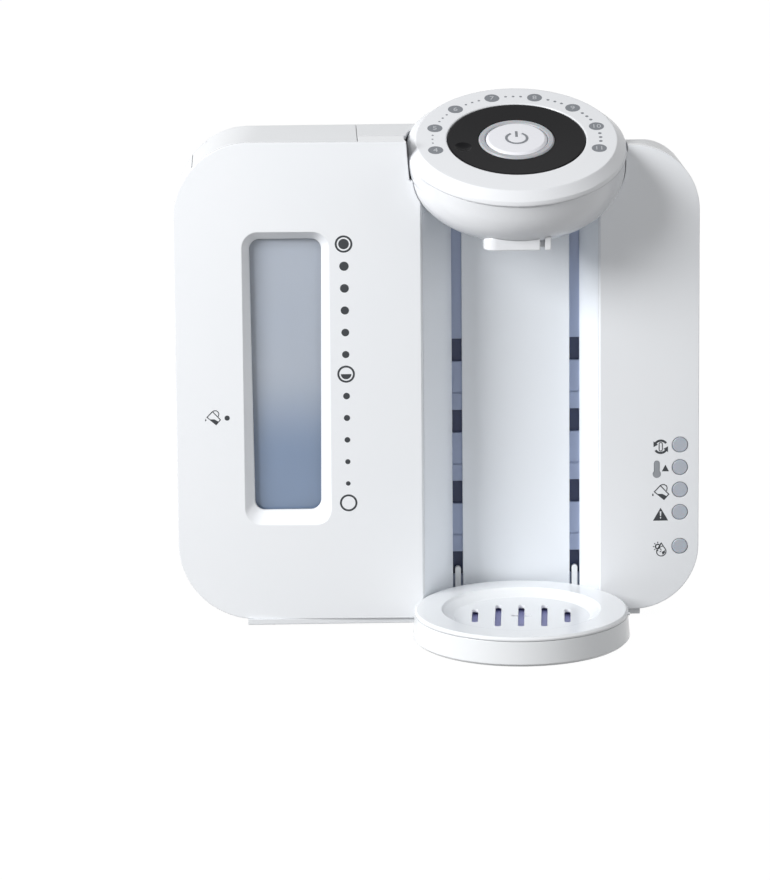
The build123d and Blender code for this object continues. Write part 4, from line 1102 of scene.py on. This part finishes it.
@dataclass
class LampPictograms:
    """Pictograms printed beside the five lamps, in mm.

    Attributes:
        x: Middle of the column.
        heights: Height of each pictogram's middle.
        heat_x: Shift of the thermometer, which shares its row with a small triangle.
        heat_sign: Place of that triangle from the row's middle.
        heat_sign_size: Its width and height.
        warning_size: Width and height of the warning triangle.
        bar_drop: How far under that triangle's middle the exclamation mark's lies.
        drop_x: Shift of the drop, which leaves room for its sun.
        film: Underside and top of the ink.
        second_film: Underside and top of what is printed over it.
    """

    x: float = 136.6
    heights: dict[Pictogram, float] = field(default_factory=lambda: {
        Pictogram.CHANGE_FILTER: 107.6, Pictogram.TEMPERATURE: 93.5,
        Pictogram.FILL_TANK: 78.6, Pictogram.WARNING: 64.8, Pictogram.DESCALE: 41.0,
    })
    heat_x: float = -2.4
    heat_sign: Point = (2.9, 0.6)
    heat_sign_size: Point = (4.3, 4.2)
    warning_size: Point = (9.4, 8.2)
    bar_drop: float = 0.8
    drop_x: float = 0.5
    film: Point = (0.01, 0.05)
    second_film: Point = (0.055, 0.08)

    def build(self, face: BowedFace, wardrobe: Wardrobe) -> None:
        """Print the pictograms on the right panel.

        Args:
            face: The panel's face.
            wardrobe: Finishes to print with.
        """
        finishes, x, z = wardrobe.finishes, self.x, self.heights
        heat, warning = z[Pictogram.TEMPERATURE], z[Pictogram.WARNING]
        sign_x, sign_z = self.heat_sign
        dark = filter_turn().moved(x, z[Pictogram.CHANGE_FILTER])
        dark.join(triangle(*self.heat_sign_size).moved(x + sign_x, heat + sign_z))
        dark.join(tipping_jug().moved(x, z[Pictogram.FILL_TANK]))
        dark.join(triangle(*self.warning_size).moved(x, warning))
        dark.join(sun_and_drop().moved(x + self.drop_x, z[Pictogram.DESCALE]))
        grey = thermometer().moved(x + self.heat_x, heat)
        pale = exclamation().moved(x, warning - self.bar_drop)
        for name, art, finish, film in (
            ("pictograms_dark", dark, finishes.dark_ink, self.film),
            ("pictograms_grey", grey, finishes.soft_ink, self.film),
            ("pictogram_bar", pale, finishes.panel, self.second_film),
        ):
            wardrobe.fit(art.build(name, face, *film), finish, Body.HOUSING)


@dataclass
class Housing:
    """Front panels, rear shell, base and the fittings at the back.

    Attributes:
        bay_x: Middle of the bottle bay in mm.
        bow_starts: Where each panel's bow starts, left and right of the bay's middle.
        scale: Marks on the left panel.
        pictograms: Marks on the right panel.
    """

    bay_x: float = 48.7
    bow_starts: Point = (-59.1, 50.8)
    scale: LevelScale = field(default_factory=LevelScale)
    pictograms: LampPictograms = field(default_factory=LampPictograms)

    def build(self, frame: Frame, wardrobe: Wardrobe) -> None:
        """Dress the casings and print the front panels.

        Args:
            frame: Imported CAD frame.
            wardrobe: Finishes to dress it in.
        """
        finishes = wardrobe.finishes
        wardrobe.dress_nodes(
            frame,
            (finishes.panel, ("left_fascia", "right_fascia")),
            (finishes.shell, ("rear_shell", "base_plate")),
            (finishes.rubber, ("rubber_feet", "cord_gland")),
            (finishes.switch, ("switch_housing", "power_rocker")),
            (finishes.steel, ("case_screws",)),
            (finishes.lamp, ("filter_button", "heat_lamp", "fill_lamp", "descale_lamp",
                             "clean_button")),
            (finishes.board, ("lamp_board",)),
        )
        left, right = (BowedFace(self.bay_x + start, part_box(node)[0].y / MM)
                       for start, node in zip(self.bow_starts, ("left_fascia", "right_fascia")))
        self.scale.build(left, wardrobe)
        self.pictograms.build(right, wardrobe)


@dataclass
class BottleBay:
    """Lined bay with its two rails, and the stand that climbs them.

    Attributes:
        stand_middle: Middle of the round stand, across and deep, in mm.
        dish_r: Radius of the dish under the drip slots.
        dish_floor: Height of the dish's floor over the table.
        dish_rim: Height of the dish's rim.
        dish_wall: Thickness of the dish.
        corner_depth: Where the wall under the head's left side starts and ends, front to back.
        corner_x: Where it stands at those two ends, across.
        corner_z: Its foot and top.
        corner_wall: Its thickness.
    """

    stand_middle: Point = (48.7, -24.9)
    dish_r: float = 45.0
    dish_floor: float = 10.2
    dish_rim: float = 11.4
    dish_wall: float = 0.8
    corner_depth: Point = (9.2, 24.0)
    corner_x: Point = (-8.85, -1.05)
    corner_z: Point = (257.9, 266.0)
    corner_wall: float = 2.0

    def build(self, frame: Frame, wardrobe: Wardrobe) -> None:
        """Dress the bay and the stand, and add what closes them.

        Args:
            frame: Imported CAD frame.
            wardrobe: Finishes to dress it in.
        """
        finishes = wardrobe.finishes
        wardrobe.dress_nodes(
            frame,
            (finishes.liner, ("recess_liner",)),
            (finishes.rail, ("rail_left", "rail_right")),
            # the step strips' navy is painted shade of the holes behind the rail windows
            (finishes.strip, ("step_strip_left", "step_strip_right")),
            (finishes.stand, ("stand_cup", "drip_cover")),
        )
        wardrobe.fit(self._corner(), finishes.liner, Body.HOUSING)
        # the lavender dish is painted shade seen through the drip slots
        wardrobe.fit(self._dish(), finishes.dish, Body.STAND)

    def _corner(self) -> Piece:
        """Carry the bay's left wall on up to the head's bowl, where a corner stays open.

        Returns:
            The new piece.
        """
        mesh = bmesh.new()
        (near, deep), (near_x, deep_x) = self.corner_depth, self.corner_x
        out = self.corner_wall
        outline = [(near_x, near), (deep_x, deep), (deep_x - out, deep), (near_x - out, near)]
        bar(mesh, [[mesh.verts.new(Vector((x, y, z)) * MM) for z in self.corner_z]
                   for x, y in outline])
        return piece_from(mesh, "bay_corner_wall")

    def _dish(self) -> Piece:
        """Turn the shallow lavender dish under the drip slots, whose colour is painted shade seen
        through them.

        Returns:
            The new piece.
        """
        inner, under = self.dish_r - self.dish_wall, self.dish_floor - self.dish_wall
        section = [(0.0, self.dish_floor), (inner, self.dish_floor), (inner, self.dish_rim),
                   (self.dish_r, self.dish_rim), (self.dish_r, under), (0.0, under)]
        return turned(section, self.stand_middle, "drip_dish_painted_shade")


@dataclass
class ControlHead:
    """Round head with the volume marks, selector ring and start button.

    Attributes:
        first_mark: Volume at the first mark.
        last_mark: Volume at the last mark.
        mark_step: Angle between two marks in degrees.
        mark_circle_r: Radius that the marks lie on, in mm.
        mark_r: Radius of a mark's disc.
        type_size: Height of its number's type.
        type_lift: Height of the number over the face.
        dot_turns: Angles of the dots between two marks, from the middle between them.
        dot_r_first: Radius of the dots at the first mark.
        dot_r_last: Radius of the dots at the last mark.
        button_proud: Height of the start button above the face.
        press_travel: How far the start button goes down; not used.
        symbol_line: Width of the lines of the symbol on it.
        symbol_arc: Radius of the symbol's arc, and how far towards the user its middle lies.
        symbol_turn: Angle where the arc starts, and its sweep.
        symbol_bar: Far and near end of the symbol's bar.
        lip_turn: Angle where the lip on the rim's left starts, and how far it runs back.
        lip_fade: Angle over which the lip grows out of the rim at its two ends.
        lip_steps: Straight pieces along the lip.
        lip_out: Radius and drop under the face along the outside of the full lip.
        lip_flat: Radius at the same places where the lip has sunk into the rim.
        lip_in: Radius and drop along the lip's inside, upwards.
    """

    first_mark: int = 4
    last_mark: int = 11
    mark_step: float = 29.75
    mark_circle_r: float = 51.0
    mark_r: float = 4.6
    type_size: float = 6.0
    type_lift: float = 0.07
    dot_turns: Triple = (-5.2, 0.0, 5.2)
    dot_r_first: float = 0.6
    dot_r_last: float = 1.15
    button_proud: float = 0.8
    press_travel: float = 1.5
    symbol_line: float = 1.5
    symbol_arc: Point = (6.3, 0.5)
    symbol_turn: Point = (122.0, 296.0)
    symbol_bar: Point = (7.6, 0.9)
    lip_turn: Point = (222.0, -92.0)
    lip_fade: float = 22.0
    lip_steps: int = 46
    lip_out: tuple[Point, ...] = ((61.9, 0.93), (64.2, 2.2), (66.0, 3.7), (67.0, 5.6),
                                  (67.3, 8.0), (67.3, 9.5), (67.2, 12.5), (66.85, 15.5),
                                  (66.1, 18.5))
    lip_flat: tuple[float, ...] = (61.5, 62.9, 64.5, 66.1, 66.5, 65.8, 65.8, 65.8, 65.8)
    lip_in: tuple[Point, ...] = ((65.6, 18.5), (65.6, 8.6), (66.3, 8.0), (65.9, 5.6),
                                 (61.3, 0.93))

    def build(self, frame: Frame, wardrobe: Wardrobe) -> None:
        """Dress the head's nodes, print its face and add its lip and spring.

        Args:
            frame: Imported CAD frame.
            wardrobe: Finishes to dress it in.
        """
        finishes = wardrobe.finishes
        wardrobe.dress_nodes(
            frame,
            (finishes.head, ("head_cover", "head_bowl", "nozzle_block")),
            (finishes.seal, ("nozzle_outlets",)),
            (finishes.dial, ("selector_dial",)),
            (finishes.light_ring, ("light_ring",)),
            (finishes.button, ("start_button",)),
            (finishes.spring, ("start_spring",)),
            (finishes.nylon, ("dial_carrier",)),
            (finishes.board, ("dial_board",)),
        )
        self._spring(frame, wardrobe)
        turn = joint(frame, "dial_turn")
        face = TiltedFace(Vector(turn["pos_m"]), Vector(turn["axis"]).normalized())
        self._lip(face, wardrobe)
        self._print_marks(face, wardrobe)
        self._print_symbol(face, wardrobe)

    def _lip(self, face: TiltedFace, wardrobe: Wardrobe) -> None:
        """Thicken the rim on its left, where it fills the joint beside the panel.

        Args:
            face: The head's face.
            wardrobe: Finishes to dress the lip in.
        """
        mesh, steps = bmesh.new(), self.lip_steps
        rows: list[list[Any]] = [[] for _ in self.lip_out + self.lip_in]
        start, sweep = self.lip_turn
        for i in range(steps + 1):
            turn = math.radians(start + sweep * i / steps)
            share = min(1.0, min(i, steps - i) * abs(sweep) / steps / self.lip_fade)
            grown = share * share * (3 - 2 * share)
            outside = [(flat + (full - flat) * grown, drop)
                       for flat, (full, drop) in zip(self.lip_flat, self.lip_out)]
            for row, (r, drop) in zip(rows, [*outside, *self.lip_in]):
                spot = face.lay(r * math.cos(turn), r * math.sin(turn), -drop)
                row.append(mesh.verts.new(spot))
        bar(mesh, rows)
        wardrobe.fit(piece_from(mesh, "head_rim_lip"), wardrobe.finishes.head, Body.HOUSING)

    def _spring(self, frame: Frame, wardrobe: Wardrobe) -> None:
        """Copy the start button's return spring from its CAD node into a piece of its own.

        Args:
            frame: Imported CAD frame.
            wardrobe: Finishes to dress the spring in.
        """
        node = frame["nodes"]["start_spring"]
        data = node.data.copy()
        data.transform(node.matrix_world)
        coil = placed(data, "start_spring_coil")
        wardrobe.fit(coil, wardrobe.finishes.spring, Body.HOUSING)
        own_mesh(coil)
        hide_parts("start_spring")

    def _print_marks(self, face: TiltedFace, wardrobe: Wardrobe) -> None:
        """Print the volume marks with the dots between them.

        Args:
            face: The head's face.
            wardrobe: Finishes to print with.
        """
        finishes = wardrobe.finishes
        count = self.last_mark - self.first_mark
        home = 90 + count * self.mark_step / 2
        discs, dots = Artwork(), Artwork()
        for i in range(count + 1):
            x, y = self._spot(home - i * self.mark_step)
            discs.disc(x, y, self.mark_r, sides=40)
            number = self.first_mark + i
            digits = numeral(str(number), self.type_size, face.matrix(x, y, self.type_lift),
                             f"volume_numeral_{number}")
            wardrobe.fit(digits, finishes.pale_ink, Body.HOUSING)
            for turn in self.dot_turns if i < count else ():
                x, y = self._spot(home - (i + 0.5) * self.mark_step - turn)
                share = (i + 0.5 + turn / self.mark_step) / count
                size = self.dot_r_first + share * (self.dot_r_last - self.dot_r_first)
                dots.disc(x, y, size, sides=12)
        for name, art in (("volume_discs", discs), ("volume_dots", dots)):
            wardrobe.fit(art.build(name, face), finishes.grey_ink, Body.HOUSING)

    def _spot(self, angle: float) -> Point:
        """Place on the circle of marks at an angle from +X."""
        turn = math.radians(angle)
        return self.mark_circle_r * math.cos(turn), self.mark_circle_r * math.sin(turn)

    def _print_symbol(self, face: TiltedFace, wardrobe: Wardrobe) -> None:
        """Print the on and off symbol on the start button.

        Args:
            face: The head's face.
            wardrobe: Finishes to print with.
        """
        top = TiltedFace(face.origin, face.normal, self.button_proud)
        radius, drop = self.symbol_arc
        art = Artwork().arc(0, -drop, radius, self.symbol_line, *self.symbol_turn, sides=40)
        art.line([(0, y) for y in self.symbol_bar], self.symbol_line)
        wardrobe.fit(art.build("start_symbol", top), wardrobe.finishes.grey_ink, Body.START_KEY)


@dataclass
class WaterTank:
    """Lift-out tank with its lid, the filter that stands in it and the level float."""

    def build(self, frame: Frame, wardrobe: Wardrobe) -> None:
        """Dress the tank's nodes and the bay around it.

        Args:
            frame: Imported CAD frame.
            wardrobe: Finishes to dress it in.
        """
        finishes = wardrobe.finishes
        wardrobe.dress_nodes(
            frame,
            (finishes.tank, ("water_tank",)),
            (finishes.shell, ("tank_lid", "bay_wall", "bay_floor", "tank_socket")),
            (finishes.filter_case, ("filter_case", "filter_cap")),
            (finishes.granules, ("filter_media",)),
            (finishes.float_body, ("level_float",)),
            (finishes.seal, ("socket_seal",)),
        )


@dataclass
class Works:
    """Heating can, pump and control board inside the housing."""

    def build(self, frame: Frame, wardrobe: Wardrobe) -> None:
        """Dress the works.

        Args:
            frame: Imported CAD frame.
            wardrobe: Finishes to dress them in.
        """
        finishes = wardrobe.finishes
        wardrobe.dress_nodes(
            frame,
            (finishes.steel, ("boiler",)),
            (finishes.nylon, ("boiler_cradle", "pump")),
            (finishes.board, ("control_board",)),
        )


# ---------------------------------------------------------------- studio
@dataclass
class SoftLamp:
    """Square area lamp that faces the machine.

    Attributes:
        name: Name of the lamp.
        place: Where it hangs, in metres.
        size: Side of its square.
        power: Its power in watts.
    """

    name: str
    place: Triple
    size: float
    power: float

    def build(self, aim: Vector) -> None:
        """Hang the lamp so that it faces a point.

        Args:
            aim: The point, in metres.
        """
        data = bpy.data.lights.new(self.name, "AREA")
        data.size = self.size
        data.energy = self.power
        lamp = placed(data, self.name)
        lamp.location = self.place
        lamp.rotation_euler = (aim - lamp.location).to_track_quat("-Z", "Y").to_euler()


@dataclass
class Studio:
    """White table, even light and the camera.

    Attributes:
        aim: Point on the machine's front that the camera looks at.
        distance: Distance from it to the camera.
        yaw: Turn of the camera to the machine's left, in degrees.
        pitch: How far the camera looks down.
        roll: Lean of the camera.
        lens: Focal length in mm over the sensor.
        sensor: Width of the sensor in mm.
        sight: How far the camera sees, in metres.
        daylight: Strength of the even light from the room.
        lamps: Lamps around the machine.
        lamp_aim: Point that they face.
        table_half: Half the table's side.
        table_drop: How far the table lies under the machine's feet.
        table_colour: The table as the machine's light meets it, kept grey against its bounce.
        table_roughness: Roughness of its laminate.
        table_glow: Brightness of the table as the eye and reflections meet it.
        glow_share: Share of that brightness; the rest takes the machine's shadow.
    """

    aim: Triple = (-0.032915, 0.0061, 0.117671)
    distance: float = 3.6955
    yaw: float = 1.205
    pitch: float = 14.168
    roll: float = -0.503
    lens: float = 247.57
    sensor: float = 36.0
    sight: float = 60.0
    daylight: float = 0.31
    lamps: tuple[SoftLamp, ...] = (
        SoftLamp("key", (-1.4, -0.93, 1.02), 0.8, 37.5),
        SoftLamp("fill", (2.3, -1.0, 0.8), 1.4, 10.0),
        SoftLamp("front", (0.3, -3.2, 0.55), 0.8, 3.0),
    )
    lamp_aim: Triple = (0.0, 0.0, 0.15)
    table_half: float = 12.0
    table_drop: float = 0.0003
    table_colour: str = "#707070"
    table_roughness: float = 0.6
    table_glow: float = 1.16
    glow_share: float = 0.85

    def build(self) -> None:
        """Set up the floor, the light and the camera."""
        self._floor()
        self._world()
        for lamp in self.lamps:
            lamp.build(Vector(self.lamp_aim))
        self._camera()
        bpy.context.scene.view_settings.view_transform = "Standard"

    def _floor(self) -> None:
        """Lay a wide white table under the machine."""
        mesh = bmesh.new()
        bmesh.ops.create_grid(mesh, x_segments=1, y_segments=1, size=self.table_half)
        floor = piece_from(mesh, "table_top", solid=False)
        floor.location.z = -self.table_drop
        material, tree, output = new_material("white_laminate_table")
        seen = see_through(tree)
        laminate = add_node(tree, "BsdfPrincipled",
                            {"Base Color": linear(self.table_colour),
                             "Roughness": self.table_roughness})
        glow = add_node(tree, "Emission", {"Strength": self.table_glow})
        share = add_node(tree, "Math", {"operation": "MULTIPLY", 1: self.glow_share}, {0: seen})
        mix = add_node(tree, "MixShader", {}, {0: share.outputs[0], 1: laminate.outputs[0],
                                               2: glow.outputs[0]})
        tree.links.new(mix.outputs[0], output.inputs["Surface"])
        floor.data.materials.append(material)

    def _world(self) -> None:
        """Light the room evenly, with a white background for the eye and for reflections."""
        world = bpy.data.worlds.new("white_room")
        world.use_nodes = True
        tree = world.node_tree
        tree.nodes.clear()
        seen = see_through(tree)
        plain, white = (add_node(tree, "Background", {"Color": linear("#ffffff"),
                                                      "Strength": strength})
                        for strength in (self.daylight, 1.0))
        mix = add_node(tree, "MixShader", {}, {0: seen, 1: plain.outputs[0],
                                               2: white.outputs[0]})
        output = add_node(tree, "OutputWorld")
        tree.links.new(mix.outputs[0], output.inputs["Surface"])
        bpy.context.scene.world = world

    def _camera(self) -> None:
        """Place the camera in front of the machine and a little above it."""
        yaw, pitch, roll = (math.radians(v) for v in (self.yaw, self.pitch, self.roll))
        back = Vector((-math.sin(yaw) * math.cos(pitch), -math.cos(yaw) * math.cos(pitch),
                       math.sin(pitch)))
        right = Vector((0, 0, 1)).cross(back).normalized()
        up = back.cross(right)
        turned_right = right * math.cos(roll) + up * math.sin(roll)
        turned_up = up * math.cos(roll) - right * math.sin(roll)
        data = bpy.data.cameras.new("camera")
        data.lens = self.lens
        data.sensor_width = self.sensor
        data.clip_end = self.sight
        camera = placed(data, "camera")
        turn = Matrix((turned_right, turned_up, back)).transposed().to_4x4()
        camera.matrix_world = Matrix.Translation(Vector(self.aim) + back * self.distance) @ turn
        bpy.context.scene.camera = camera


def see_through(tree: Tree) -> Socket:
    """Give 1 for camera, glossy and transmission rays.

    Args:
        tree: Node tree that gets the nodes.

    Returns:
        Socket with the share.
    """
    path = add_node(tree, "LightPath")
    glossy = add_node(tree, "Math", {"operation": "MAXIMUM"},
                      {0: path.outputs["Is Camera Ray"], 1: path.outputs["Is Glossy Ray"]})
    every = add_node(tree, "Math", {"operation": "MAXIMUM"},
                     {0: glossy.outputs[0], 1: path.outputs["Is Transmission Ray"]})
    return every.outputs[0]


def main() -> None:
    """Build and dress the whole machine."""
    logging.basicConfig(level=logging.INFO, format="%(message)s")
    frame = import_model()
    Studio().build()
    wardrobe = Wardrobe(FinishRange())
    for part in (Housing(), BottleBay(), ControlHead(), WaterTank(), Works()):
        part.build(frame, wardrobe)
        LOG.info("%s is dressed", type(part).__name__)


if __name__ == "__main__":
    main()
